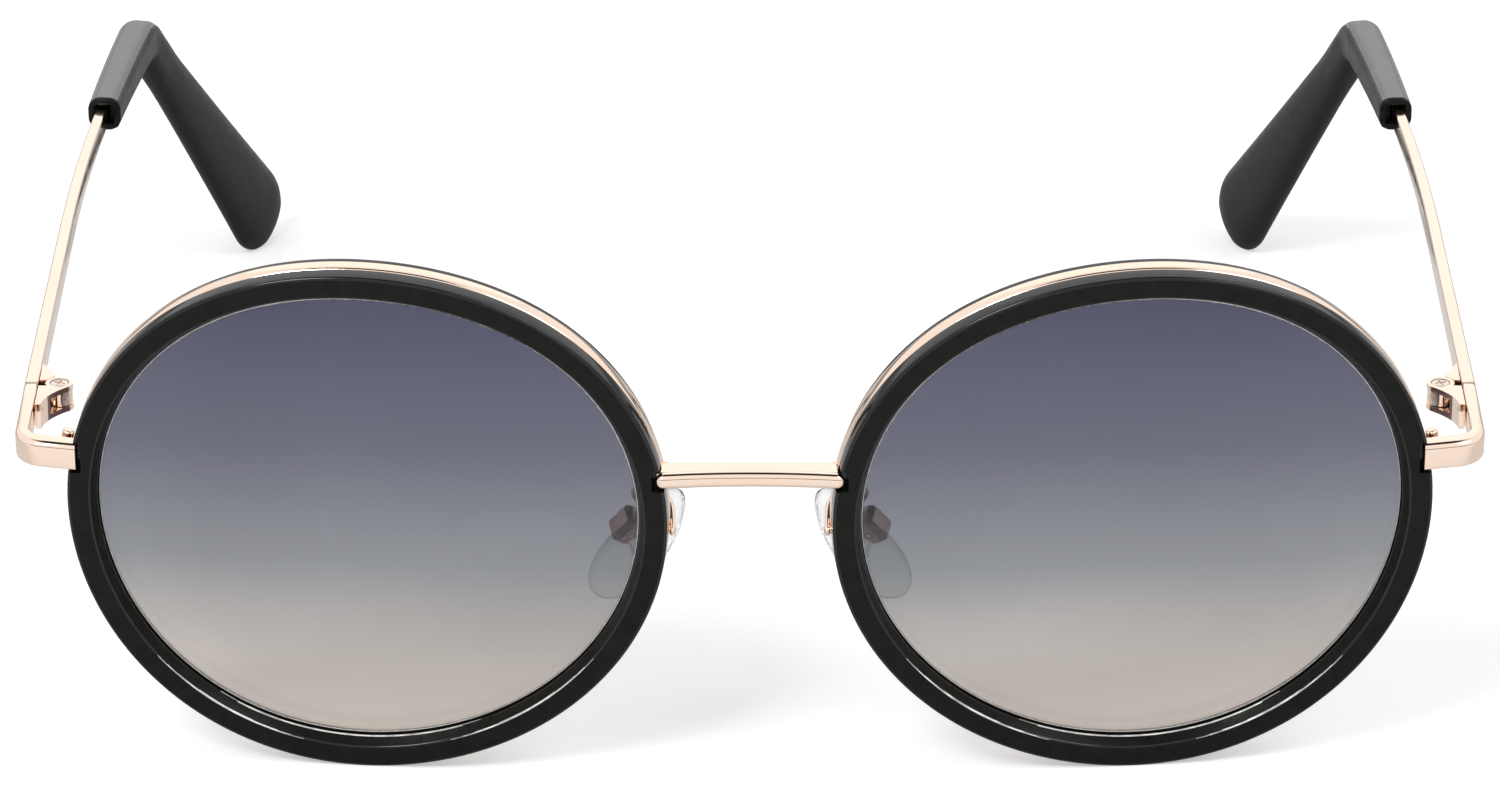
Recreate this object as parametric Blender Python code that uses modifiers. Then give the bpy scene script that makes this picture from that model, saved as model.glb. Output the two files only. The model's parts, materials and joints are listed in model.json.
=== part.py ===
"""Round sunglasses: black plastic rims held in split metal eyewires, on a metal front that folds.

Everything is in metres with +Z up. The wearer looks along -Y, so the wearer's left is +X.
The left half is modelled first. The right half is its mirror image, piece by piece.
The front is drawn in its own frame: x across, y to the back, z up the lens plane, with its
origin midway between the two rim centres. At the end the front frame is leaned until the
rims and the temple tips stand on z = 0.
"""

import bpy
import bmesh
from math import asin, atan2, cos, pi, radians, sin, sqrt, tan
from mathutils import Matrix, Vector

MM = 0.001

# Clearances
SEAT_GAP = 0.08 * MM            # between pieces that are soldered, pressed or glued together
RUN_GAP = 0.06 * MM             # radial gap of a pin in its bore
JOINT_GAP = 0.12 * MM           # between the butt ends of endpiece and temple
CUT_OVERRUN = 3.0 * MM          # how far a cutter runs past what it cuts

# Mesh making
WELD_DISTANCE = 0.001 * MM
AXIS_WELD = 0.005 * MM          # closes a turned profile on its axis
FRAME_DISPLAY = 5.0 * MM        # drawn size of a frame's empty

# Rim outline, a circle pulled into a soft oval
RIM_RADIUS = 29.02 * MM
RIM_OVAL_SHARE = 0.0342
RIM_DROP_SHARE = 0.0128
RIM_NASAL_SHARE = 0.0065
RIM_SQUARE_SHARE = 0.0032
RIM_GAP = 16.39 * MM            # between the two rims at the nose
WRAP_ANGLE = radians(4.7)
RIM_SEGMENTS = 60

# Rim section, as insets from the outline and depths from the front face
FACE_WIDTH = 2.3 * MM
FACE_EDGE = 0.3 * MM
FLANGE_DEPTH = 1.8 * MM
EYEWIRE_WIDTH = 1.95 * MM
EYEWIRE_HEIGHT = 0.85 * MM
EYEWIRE_PROUD = 0.05 * MM
REAR_LIP_DEPTH = 1.1 * MM
REAR_LIP_INSET = 0.35 * MM
INNER_BEVEL = 0.7 * MM
LENS_SEAT_DEPTH = 1.5 * MM
LENS_EDGE_THICKNESS = 1.8 * MM
LENS_OVERLAP = 0.5 * MM
LENS_SAG = 1.4 * MM
LENS_EDGE_BEVEL = 0.22 * MM
LENS_BEVEL_DEPTH = 0.44 * MM
LENS_FRONT_GAP = 0.15 * MM

# Height of the bridge and the endpieces over the rim centres
HINGE_LINE = 6.3 * MM

# Endpiece
STRIP_HEIGHT = 2.8 * MM
STRIP_THICKNESS = 1.4 * MM
ENDPIECE_ROOT = 1.9 * MM        # thickness where it leaves the rim
ENDPIECE_PROUD = 0.35 * MM
ENDPIECE_INSET = 0.6 * MM       # how far its end reaches inside the rim outline
ENDPIECE_SWEEP = radians(11.0)
ENDPIECE_CORNER = 3.3 * MM
ENDPIECE_ROUND = 0.65 * MM      # along the top of its outer side
ENDPIECE_REACH = 5.2 * MM       # outwards from the rim's side
HINGE_BACK = 16.2 * MM          # hinge axis behind the lens plane
HINGE_ARM = 9.0 * MM            # length that slopes with the temple, in front of the hinge axis
PANTO_ANGLE = radians(4.0)      # temples slope down towards the back
NOTCH_SIDE_GAP = 0.45 * MM
NOTCH_TOP_GAP = 0.2 * MM
NOTCH_BOTTOM_GAP = 0.45 * MM
NOTCH_DEPTH = 1.45 * MM         # leaves a thin wall in front of the eyewire

# Bridge
BRIDGE_LAP = 1.12 * MM          # how far the bar's ends reach over the rims
BRIDGE_BAR_HEIGHT = 1.58 * MM
BRIDGE_BAR_DEPTH = 1.35 * MM
BRIDGE_BAR_PROUD = 0.35 * MM
BRIDGE_BAR_DROP = 0.22 * MM     # below the hinge line
BRIDGE_BAR_ROUND_SHARE = 0.42
BRIDGE_ARCH = 0.3 * MM
BRIDGE_STRAP_TOP = 0.48 * MM    # above the hinge line
BRIDGE_STRAP_HEIGHT = 1.2 * MM
BRIDGE_STRAP_DEPTH = 2.6 * MM
BRIDGE_STRAP_EDGE = 0.2 * MM
BRIDGE_NOTCH_HEIGHT = 2.3 * MM
BRIDGE_NOTCH_SIDE_GAP = 0.4 * MM

# Hinge, in its own frame: x outwards, y back along the temple, z along the screw
HINGE_OFFSET = 2.12 * MM        # axis to the inner face of the strip
HINGE_HEIGHT = 2.7 * MM
EAR_THICKNESS = 0.55 * MM
BARREL_RADIUS = 1.4 * MM
BARREL_SWEEP = radians(222.0)   # round the screw, to where the ears hollow
EAR_LEAF_LENGTH = 5.2 * MM
EAR_LEAF_THICKNESS = 0.6 * MM
EAR_SLOT_FRONT = 2.9 * MM
EAR_HEEL_GAP = 0.7 * MM         # open behind the leaf, up to the butt joint
TONGUE_RADIUS = 1.3 * MM
TONGUE_SLACK = 0.07 * MM        # above and below, in the slot
TONGUE_FOOT_LENGTH = 4.6 * MM
TONGUE_FOOT_REACH = 1.45 * MM
TONGUE_TAB_START = radians(95.0)
TONGUE_SHOULDER_GAP = 0.2 * MM
TONGUE_WAIST = radians(22.0)    # where the shoulders meet the strip, round the screw
TONGUE_HEEL = 0.45 * MM
HINGE_SCREW_RADIUS = 0.6 * MM
HINGE_HEAD_RADIUS = 0.92 * MM
HINGE_HEAD_HEIGHT = 0.34 * MM
SCREW_SLOT_WIDTH = 0.26 * MM
SCREW_SLOT_DEPTH = 0.16 * MM
SCREW_EDGE = 0.1 * MM

# Rim lock, two barrels on the split ends of the eyewire
LOCK_RADIUS = 0.62 * MM
LOCK_HEIGHT = 1.25 * MM         # of each barrel
LOCK_SPLIT = 0.26 * MM
LOCK_ROUND = 0.26 * MM
LOCK_SCREW_RADIUS = 0.3 * MM
LOCK_SCREW_REACH = 0.8 * MM     # into the upper barrel
LOCK_HEAD_RADIUS = 0.52 * MM
LOCK_HEAD_HEIGHT = 0.3 * MM

# Temple
TEMPLE_STRAIGHT = 40.0 * MM     # from the hinge axis to where it starts to curve in
TEMPLE_CURVE_IN = 3.3 * MM      # sideways drift at the bend
BEND_AT = 94.5 * MM
BEND_RADIUS = 4.2 * MM
BEND_ANGLE = radians(56.0)
DROP_LENGTH = 42.0 * MM
DROP_LEAN = radians(17.0)       # the drop leans in towards the head
DROP_TWIST = radians(5.0)       # and its inner face turns a little to the front
STRIP_END_SHARE = 0.82          # strip section at the collar, of that at the hinge
CORE_SHARE = 0.62               # core section inside the tip
CORE_DROP_SHARE = 0.7           # how far down the drop the core reaches
CORE_STEP = 0.4 * MM            # length over which the strip narrows to the core
SECTION_EDGE = 0.25 * MM

# Temple tip
COLLAR_AT = 72.0 * MM           # where the tip's sleeve starts
COLLAR_WIDTH = 3.6 * MM
COLLAR_HEIGHT = 3.7 * MM
TIP_BEND_HEIGHT = 4.5 * MM
TIP_PADDLE_HEIGHT = 9.2 * MM
TIP_DROP_WIDTH = 3.1 * MM
TIP_EDGE = 0.95 * MM
TIP_EDGE_SHARE = 0.42           # of a side, the most that its round takes
TIP_END_TURN = radians(83.0)    # round the end, to where the last ring closes it
TIP_RAISE = 0.35 * MM           # the sleeve sits this much higher than the wire
TIP_SHIFT_IN = 0.25 * MM        # and this much nearer the head
TIP_BORE_GAP = 0.15 * MM
MOUTH_WALL = 0.7 * MM
MOUTH_DEPTH = 1.2 * MM

# Nose pads, in a frame on the pad screw: x down the pad, y along the screw, z to the nose
PAD_PIVOT = Vector((4.0, 7.0, -3.8)) * MM    # from the rim's nose side
PAD_FACING = Vector((-0.72, 0.38, -0.58))
PAD_DOWN = Vector((0.66, 0.09, -0.75))
PAD_LENGTH = 14.0 * MM
PAD_WIDTH = 7.6 * MM
PAD_THICKNESS = 2.1 * MM
PAD_TAPER_SHARE = 0.16
PAD_FULLNESS_SHARE = 0.72
PAD_DISH = 0.45 * MM
PAD_STAND_OFF = 2.9 * MM        # pivot to the pad's middle plane
PAD_OFFSET = 1.5 * MM           # pad centre below the pivot
BOX_LENGTH = 3.5 * MM
BOX_WIDTH = 3.0 * MM
BOX_BELOW = 1.4 * MM
BOX_ABOVE = 1.0 * MM
BOX_WALL = 0.55 * MM
BOX_EDGE = 0.6 * MM
CORE_STEM_LENGTH = 1.5 * MM
CORE_FLOOR_GAP = 0.16 * MM      # between the stem and the box's floor, room to rock
CORE_PLATE_LENGTH = 5.0 * MM
CORE_PLATE_WIDTH = 3.4 * MM
CORE_PLATE_THICKNESS = 0.5 * MM
PAD_SCREW_RADIUS = 0.36 * MM
PAD_HEAD_RADIUS = 0.62 * MM
PAD_HEAD_HEIGHT = 0.35 * MM
ARM_RADIUS = 0.5 * MM
ARM_TIP_SHARE = 0.5             # the wire is drawn thin where it is soldered
ARM_SOLDER_ANGLE = radians(181.4)
ARM_SOLDER_DEPTH = 2.6 * MM
ARM_ROUTE = [Vector(p) * MM for p in (       # from the rim's nose side
    (-0.3, 2.7, 0.5), (0.7, 4.1, 1.0), (2.2, 5.2, 1.0), (3.2, 6.3, 0.3))]
ARM_LANDING = 1.0 * MM          # straight length where it meets the box

# Colours
ROSE_GOLD = (0.93, 0.76, 0.66, 1.0)
BLACK = (0.012, 0.012, 0.011, 1.0)
CHARCOAL = (0.045, 0.045, 0.043, 1.0)
LENS_TINT = (0.20, 0.20, 0.26, 0.6)
CLEAR = (0.93, 0.96, 0.97, 0.25)
STEEL = (0.72, 0.66, 0.62, 1.0)


def clear_scene():
    for thing in list(bpy.data.objects):
        bpy.data.objects.remove(thing, do_unlink=True)


def new_collection(name):
    collection = bpy.data.collections.new(name)
    bpy.context.scene.collection.children.link(collection)
    return collection


def material(name, colour, roughness, metallic=0.0, transmission=0.0):
    made = bpy.data.materials.new(name)
    made.use_nodes = True
    made.diffuse_color = colour
    shader = made.node_tree.nodes["Principled BSDF"]
    shader.inputs["Base Color"].default_value = colour
    shader.inputs["Roughness"].default_value = roughness
    shader.inputs["Metallic"].default_value = metallic
    shader.inputs["Transmission Weight"].default_value = transmission
    shader.inputs["Alpha"].default_value = colour[3]
    return made


def empty(name, parent, location, rotation=(0.0, 0.0, 0.0)):
    frame = bpy.data.objects.new(name, None)
    frame.empty_display_size = FRAME_DISPLAY
    frame.location = location
    frame.rotation_euler = rotation
    frame.parent = parent
    parts.objects.link(frame)
    return frame


def add_object(name, data, collection, parent):
    thing = bpy.data.objects.new(name, data)
    thing.parent = parent
    collection.objects.link(thing)
    return thing


def mesh_from(bm, name):
    bmesh.ops.recalc_face_normals(bm, faces=bm.faces)
    mesh = bpy.data.meshes.new(name)
    bm.to_mesh(mesh)
    bm.free()
    return mesh


def bake(thing):
    """Give the object the mesh that its modifiers, or its curve, make."""
    bpy.context.view_layer.update()
    graph = bpy.context.evaluated_depsgraph_get()
    mesh = bpy.data.meshes.new_from_object(thing.evaluated_get(graph))
    bm = bmesh.new()
    bm.from_mesh(mesh)
    bmesh.ops.remove_doubles(bm, verts=bm.verts, dist=WELD_DISTANCE)
    bmesh.ops.dissolve_degenerate(bm, edges=bm.edges, dist=WELD_DISTANCE)
    baked = mesh_from(bm, thing.name)
    if thing.type == "MESH":
        thing.data = baked
        thing.modifiers.clear()
        return thing
    solid = add_object(thing.name, baked, thing.users_collection[0], thing.parent)
    solid.matrix_basis = thing.matrix_basis.copy()
    curve_name = thing.name
    bpy.data.objects.remove(thing, do_unlink=True)
    solid.name = curve_name
    return solid


def smooth(thing, angle=radians(35.0)):
    thing.data.shade_smooth()
    thing.data.set_sharp_from_angle(angle=angle)
    return thing


def poly_curve(name, points, cyclic, dimensions="3D"):
    curve = bpy.data.curves.new(name, "CURVE")
    curve.dimensions = dimensions
    spline = curve.splines.new("POLY")
    spline.points.add(len(points) - 1)
    for knot, point in zip(spline.points, points):
        knot.co = (*Vector(point).to_3d(), 1.0)
    spline.use_cyclic_u = cyclic
    return curve


def sweep(name, path, section, parent, cyclic=False, radii=None):
    """A flat section carried along a path: section x is to the path's right, y is up."""
    profile = add_object(name + "_section", poly_curve(name + "_section", section, True, "2D"),
                         cutters, None)
    profile.hide_render = True
    profile.display_type = "WIRE"
    curve = poly_curve(name, path, cyclic)
    curve.twist_mode = "Z_UP"
    curve.bevel_mode = "OBJECT"
    curve.bevel_object = profile
    curve.use_fill_caps = not cyclic
    if radii:
        for knot, radius in zip(curve.splines[0].points, radii):
            knot.radius = radius
    return bake(add_object(name, curve, parts, parent))


def plate(name, outline, bottom, top, parent, collection=None):
    """A flat outline in the frame's xy plane, made solid from bottom to top."""
    curve = poly_curve(name, outline, True, "2D")
    curve.fill_mode = "BOTH"
    curve.extrude = (top - bottom) / 2
    thing = add_object(name, curve, collection or parts, parent)
    thing.location.z = (top + bottom) / 2
    return bake(thing)


def turned(name, profile, parent, steps=14, collection=None):
    """A profile of (radius, height) points, top to bottom, turned about the frame's z axis."""
    bm = bmesh.new()
    knots = [bm.verts.new((radius, 0.0, height)) for radius, height in profile]
    for upper, lower in zip(knots, knots[1:]):
        bm.edges.new((upper, lower))
    mesh = bpy.data.meshes.new(name)
    bm.to_mesh(mesh)
    bm.free()
    thing = add_object(name, mesh, collection or parts, parent)
    screw = thing.modifiers.new("Turn", "SCREW")
    screw.steps = steps
    screw.render_steps = steps
    screw.use_merge_vertices = True
    screw.merge_threshold = AXIS_WELD
    return bake(thing)


def block(name, low, high, parent, collection=None):
    """A box between two corners."""
    low, high = Vector(low), Vector(high)
    place = Matrix.Translation((low + high) / 2) @ Matrix.Diagonal((*(high - low), 1.0))
    bm = bmesh.new()
    bmesh.ops.create_cube(bm, size=1.0, matrix=place)
    return add_object(name, mesh_from(bm, name), collection or parts, parent)


def loft(name, rings, parent, collection=None):
    """A skin through rings of equal count, closed by a fan at each end."""
    bm = bmesh.new()
    loops = [[bm.verts.new(point) for point in ring] for ring in rings]
    count = len(loops[0])
    for lower, upper in zip(loops, loops[1:]):
        for k in range(count):
            bm.faces.new((lower[k], lower[(k + 1) % count], upper[(k + 1) % count], upper[k]))
    for loop in (loops[0], loops[-1]):
        middle = bm.verts.new(sum((knot.co for knot in loop), Vector()) / count)
        for k in range(count):
            bm.faces.new((middle, loop[k], loop[(k + 1) % count]))
    return add_object(name, mesh_from(bm, name), collection or parts, parent)


def boolean(thing, other, operation):
    modifier = thing.modifiers.new(operation.title(), "BOOLEAN")
    modifier.operation = operation
    modifier.solver = "EXACT"
    modifier.object = other
    return bake(thing)


def cut(thing, cutter):
    cutter.hide_render = True
    cutter.display_type = "WIRE"
    return boolean(thing, cutter, "DIFFERENCE")


def join(thing, other):
    boolean(thing, other, "UNION")
    bpy.data.objects.remove(other, do_unlink=True)
    return thing


def round_edges(thing, width, segments=2, angle=radians(40.0)):
    modifier = thing.modifiers.new("Edges", "BEVEL")
    modifier.width = width
    modifier.segments = segments
    modifier.limit_method = "ANGLE"
    modifier.angle_limit = angle
    return bake(thing)


def rounded_rectangle(width, height, edge, corner_steps=2):
    """Points of a rounded rectangle about the origin, counter-clockwise."""
    points = []
    for quarter in range(4):
        sign_x = (1, -1, -1, 1)[quarter]
        sign_y = (1, 1, -1, -1)[quarter]
        middle = Vector((sign_x * (width / 2 - edge), sign_y * (height / 2 - edge)))
        for step in range(corner_steps + 1):
            turn = (quarter + step / corner_steps) * pi / 2
            points.append(middle + Vector((cos(turn), sin(turn))) * edge)
    return points


def arc(middle, radius, start, end, steps):
    return [Vector((middle[0] + radius * cos(start + (end - start) * k / steps),
                    middle[1] + radius * sin(start + (end - start) * k / steps)))
            for k in range(steps + 1)]


def smooth_route(knots, per_span):
    """Points on a smooth curve through the knots."""
    ends = [2 * knots[0] - knots[1], *knots, 2 * knots[-1] - knots[-2]]
    points = []
    for before, start, end, after in zip(ends, ends[1:], ends[2:], ends[3:]):
        for k in range(per_span):
            t = k / per_span
            points.append(((2 * start) + (end - before) * t
                           + (2 * before - 5 * start + 4 * end - after) * t ** 2
                           + (3 * start - before - 3 * end + after) * t ** 3) / 2)
    return points + [knots[-1]]


def rim_radius(angle):
    """Distance of the outline from the rim's centre. Angle 0 is the temple side, 90 the top."""
    return RIM_RADIUS * (1 + RIM_OVAL_SHARE * cos(2 * angle) + RIM_DROP_SHARE * sin(3 * angle)
                         - RIM_NASAL_SHARE * cos(3 * angle) - RIM_SQUARE_SHARE * cos(4 * angle))


def rim_normal(angle):
    """Outward direction of the outline in the rim's plane."""
    radius = rim_radius(angle)
    step = radians(0.01)
    slope = (rim_radius(angle + step) - rim_radius(angle - step)) / (2 * step)
    along = Vector((cos(angle), sin(angle)))
    across = Vector((-sin(angle), cos(angle)))
    return (along * radius - across * slope).normalized()


def rim_point(angle, inset=0.0):
    """A point of the outline in the rim's plane, moved in by the inset."""
    return Vector((cos(angle), sin(angle))) * rim_radius(angle) - rim_normal(angle) * inset


def rim_angle_at(height, side):
    """Angle of the outline at a height over the centre, on the temple side (1) or nose side (-1)."""
    angle = 0.0
    for _ in range(12):
        tilt = asin(height / rim_radius(angle))
        angle = tilt if side > 0 else pi - tilt
    return angle


def nose_side():
    """The rim's nose side, from which the nose pads are placed."""
    return Vector((RIM_GAP / 2, 0.0, 0.0))


def rim_centre():
    return nose_side() + Vector((rim_radius(pi) * cos(WRAP_ANGLE), 0.0, 0.0))


def outer_side():
    """Half the width of the front, over the strips."""
    return rim_centre().x + rim_radius(0.0) * cos(WRAP_ANGLE) + ENDPIECE_REACH


def front_point(rim_xy, depth):
    """A point in the rim's plane, and behind it by the depth, in the front's frame."""
    across, up = rim_xy
    return Vector((rim_centre().x + across * cos(WRAP_ANGLE) - depth * sin(WRAP_ANGLE),
                   across * sin(WRAP_ANGLE) + depth * cos(WRAP_ANGLE), up))


def rim_section():
    """Rim section as (minus inset, minus depth): y of the rim's frame points to the front."""
    groove_back = FLANGE_DEPTH + EYEWIRE_WIDTH
    rim_depth = groove_back + REAR_LIP_DEPTH
    inner = FACE_WIDTH + INNER_BEVEL
    lens_back = LENS_SEAT_DEPTH + LENS_FRONT_GAP * 2 + LENS_EDGE_THICKNESS
    soft = FACE_EDGE / 2
    lens_groove = inner - LENS_OVERLAP
    outline = [
        (FACE_EDGE, 0.0), (FACE_WIDTH - soft, 0.0), (FACE_WIDTH, soft),
        (inner, LENS_SEAT_DEPTH), (lens_groove, LENS_SEAT_DEPTH), (lens_groove, lens_back),
        (inner, lens_back), (inner, rim_depth - soft), (inner - soft, rim_depth),
        (REAR_LIP_INSET, rim_depth), (REAR_LIP_INSET, groove_back), (EYEWIRE_HEIGHT, groove_back),
        (EYEWIRE_HEIGHT, FLANGE_DEPTH), (0.0, FLANGE_DEPTH), (0.0, FACE_EDGE),
        (FACE_EDGE * (1 - sqrt(0.5)), FACE_EDGE * (1 - sqrt(0.5)))]
    return [(-inset, -depth) for inset, depth in outline]


def rim_path(inset=0.0):
    return [rim_point(2 * pi * k / RIM_SEGMENTS, inset) for k in range(RIM_SEGMENTS)]


def make_front_rim():
    rim = sweep("front_rim_left", rim_path(), rim_section(), rim_frame, cyclic=True)
    temple_side = rim_point(rim_angle_at(HINGE_LINE, 1))
    nose_edge = rim_point(rim_angle_at(HINGE_LINE, -1))
    half = STRIP_HEIGHT / 2
    notch = block("endpiece_notch",
                  (temple_side.x - ENDPIECE_INSET - NOTCH_SIDE_GAP, HINGE_LINE - half - NOTCH_BOTTOM_GAP,
                   -NOTCH_DEPTH),
                  (temple_side.x + CUT_OVERRUN, HINGE_LINE + half + NOTCH_TOP_GAP, CUT_OVERRUN),
                  rim_frame, cutters)
    cut(rim, notch)
    bar_end = (bridge_half() + BRIDGE_NOTCH_SIDE_GAP - rim_centre().x) / cos(WRAP_ANGLE)
    middle = HINGE_LINE - BRIDGE_BAR_DROP
    half = BRIDGE_NOTCH_HEIGHT / 2
    notch = block("bridge_notch", (nose_edge.x - CUT_OVERRUN, middle - half, -NOTCH_DEPTH),
                  (bar_end, middle + half, CUT_OVERRUN), rim_frame, cutters)
    cut(rim, notch)
    return smooth(rim)


def make_eyewire(frame):
    front = FLANGE_DEPTH + SEAT_GAP
    back = FLANGE_DEPTH + EYEWIRE_WIDTH - SEAT_GAP
    floor = EYEWIRE_HEIGHT - SEAT_GAP
    edge = SECTION_EDGE
    section = [(EYEWIRE_PROUD - edge, -front), (-floor, -front), (-floor, -back),
               (EYEWIRE_PROUD - edge, -back), (EYEWIRE_PROUD, -back + edge),
               (EYEWIRE_PROUD, -front - edge)]
    wire = sweep("eyewire_left", rim_path(), section, rim_frame, cyclic=True)
    reach = CUT_OVERRUN + LOCK_RADIUS
    split = block("eyewire_split", (-reach, -CUT_OVERRUN, -LOCK_SPLIT / 2),
                  (CUT_OVERRUN, CUT_OVERRUN, LOCK_SPLIT / 2), frame, cutters)
    return smooth(cut(wire, split))


def make_lens():
    edge_inset = FACE_WIDTH + INNER_BEVEL - LENS_OVERLAP + SEAT_GAP
    front = LENS_SEAT_DEPTH + LENS_FRONT_GAP
    back = front + LENS_EDGE_THICKNESS
    face_shares = (0.5, 1.0)

    def ring(share, inset, depth):
        dome = LENS_SAG * (1 - share * share)
        return [Vector((*(rim_point(2 * pi * k / RIM_SEGMENTS, inset) * share), -(depth - dome)))
                for k in range(RIM_SEGMENTS)]

    face_inset = edge_inset + LENS_EDGE_BEVEL
    rings = [ring(share, face_inset, back) for share in face_shares]
    rings.append(ring(1.0, edge_inset, back - LENS_BEVEL_DEPTH))
    rings.append(ring(1.0, edge_inset, front + LENS_BEVEL_DEPTH))
    rings += [ring(share, face_inset, front) for share in reversed(face_shares)]
    return smooth(loft("lens_left", rings, rim_frame))


def lock_frame():
    """On the rim's split, beside the eyewire: z runs up along the rim's outline."""
    angle = rim_angle_at(HINGE_LINE, 1)
    seat = rim_point(angle, -EYEWIRE_PROUD - SEAT_GAP - LOCK_RADIUS)
    depth = FLANGE_DEPTH + EYEWIRE_WIDTH / 2 + SEAT_GAP
    normal = rim_normal(angle)
    lean = atan2(normal.y, normal.x)
    return empty("lock_frame_left", rim_frame, (seat.x, seat.y, -depth), (-pi / 2, 0.0, lean))


def make_lock(frame):
    gap = LOCK_SPLIT / 2
    bore = LOCK_SCREW_RADIUS + RUN_GAP
    roof = gap + LOCK_SCREW_REACH + SEAT_GAP
    top = gap + LOCK_HEIGHT
    upper = turned("rim_lock_upper_left", [
        (0.0, top), (LOCK_RADIUS - LOCK_ROUND, top),
        (LOCK_RADIUS - LOCK_ROUND * (1 - sqrt(0.5)), top - LOCK_ROUND * (1 - sqrt(0.5))),
        (LOCK_RADIUS, top - LOCK_ROUND), (LOCK_RADIUS, gap), (bore, gap), (bore, roof), (0.0, roof)],
        frame)
    lower = turned("rim_lock_lower_left", [
        (LOCK_RADIUS, -gap), (LOCK_RADIUS, -top), (bore, -top), (bore, -gap), (LOCK_RADIUS, -gap)],
        frame)
    seat_at = -top - SEAT_GAP
    screw = turned("rim_lock_screw_left", [
        (0.0, gap + LOCK_SCREW_REACH), (LOCK_SCREW_RADIUS, gap + LOCK_SCREW_REACH),
        (LOCK_SCREW_RADIUS, seat_at), (LOCK_HEAD_RADIUS, seat_at),
        (LOCK_HEAD_RADIUS, seat_at - LOCK_HEAD_HEIGHT + SCREW_EDGE),
        (LOCK_HEAD_RADIUS - SCREW_EDGE, seat_at - LOCK_HEAD_HEIGHT), (0.0, seat_at - LOCK_HEAD_HEIGHT)],
        frame)
    slot = block("lock_screw_slot",
                 (-CUT_OVERRUN, -SCREW_SLOT_WIDTH / 2, seat_at - LOCK_HEAD_HEIGHT - CUT_OVERRUN),
                 (CUT_OVERRUN, SCREW_SLOT_WIDTH / 2, seat_at - LOCK_HEAD_HEIGHT + SCREW_SLOT_DEPTH),
                 frame, cutters)
    cut(screw, slot)
    return [smooth(piece) for piece in (upper, lower, screw)]


def strip_profile(thickness, top_round):
    """Section of the front strip as (inwards, up), from the middle of its outer face."""
    half = STRIP_HEIGHT / 2
    edge = SECTION_EDGE
    return (arc((top_round, half - top_round), top_round, pi, pi / 2, 3)
            + arc((thickness - edge, half - edge), edge, pi / 2, 0.0, 2)
            + arc((thickness - edge, edge - half), edge, 0.0, -pi / 2, 2)
            + arc((edge, edge - half), edge, -pi / 2, -pi, 2))


def endpiece_stations():
    """Along the outer face, seen from above: place, outward direction, thickness and round."""
    root = rim_point(rim_angle_at(HINGE_LINE, 1), ENDPIECE_INSET)
    face = front_point(root, -ENDPIECE_PROUD).to_2d()
    outward = Vector((sin(ENDPIECE_SWEEP), -cos(ENDPIECE_SWEEP)))
    along = Vector((cos(ENDPIECE_SWEEP), sin(ENDPIECE_SWEEP)))
    corner_x = outer_side() - ENDPIECE_CORNER
    front_length = (corner_x + ENDPIECE_CORNER * outward.x - face.x) / along.x
    middle = face + along * front_length - outward * ENDPIECE_CORNER
    places = [(face, Vector((0.0, -1.0)), ENDPIECE_ROOT, ENDPIECE_ROUND)]
    steps = 7
    for step in range(steps + 1):
        share = step / steps
        turn = (ENDPIECE_SWEEP - pi / 2) * (1 - share)
        outward = Vector((cos(turn), sin(turn)))
        thickness = ENDPIECE_ROOT + (STRIP_THICKNESS - ENDPIECE_ROOT) * share
        places.append((middle + outward * ENDPIECE_CORNER, outward, thickness, ENDPIECE_ROUND))
    bend = Vector((outer_side(), HINGE_BACK - HINGE_ARM))
    end = Vector((outer_side(), HINGE_BACK - JOINT_GAP / 2))
    return places + [(bend, outward, STRIP_THICKNESS, ENDPIECE_ROUND),
                     (end, outward, STRIP_THICKNESS, SECTION_EDGE)]


def make_endpiece():
    bend = Vector((0.0, HINGE_BACK - HINGE_ARM, HINGE_LINE))
    tilt = Matrix.Rotation(-PANTO_ANGLE, 4, "X")
    rings = []
    for place, outward, thickness, top_round in endpiece_stations():
        ring = [Vector((*(place - outward * inwards), HINGE_LINE + up))
                for inwards, up in strip_profile(thickness, top_round)]
        rings.append([bend + tilt @ (point - bend) if point.y > bend.y else point for point in ring])
    piece = loft("endpiece_left", rings, front_frame)
    root = rim_point(rim_angle_at(HINGE_LINE, 1), ENDPIECE_INSET)
    widest = rim_point(rim_angle_at(HINGE_LINE - STRIP_HEIGHT / 2, 1), -EYEWIRE_PROUD - SEAT_GAP)
    behind = block("endpiece_seat",
                   (root.x - CUT_OVERRUN, HINGE_LINE - STRIP_HEIGHT, SEAT_GAP - NOTCH_DEPTH - CUT_OVERRUN),
                   (widest.x, HINGE_LINE + STRIP_HEIGHT, SEAT_GAP - NOTCH_DEPTH), rim_frame, cutters)
    return smooth(cut(piece, behind))


def bridge_half():
    return RIM_GAP / 2 + BRIDGE_LAP


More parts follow.
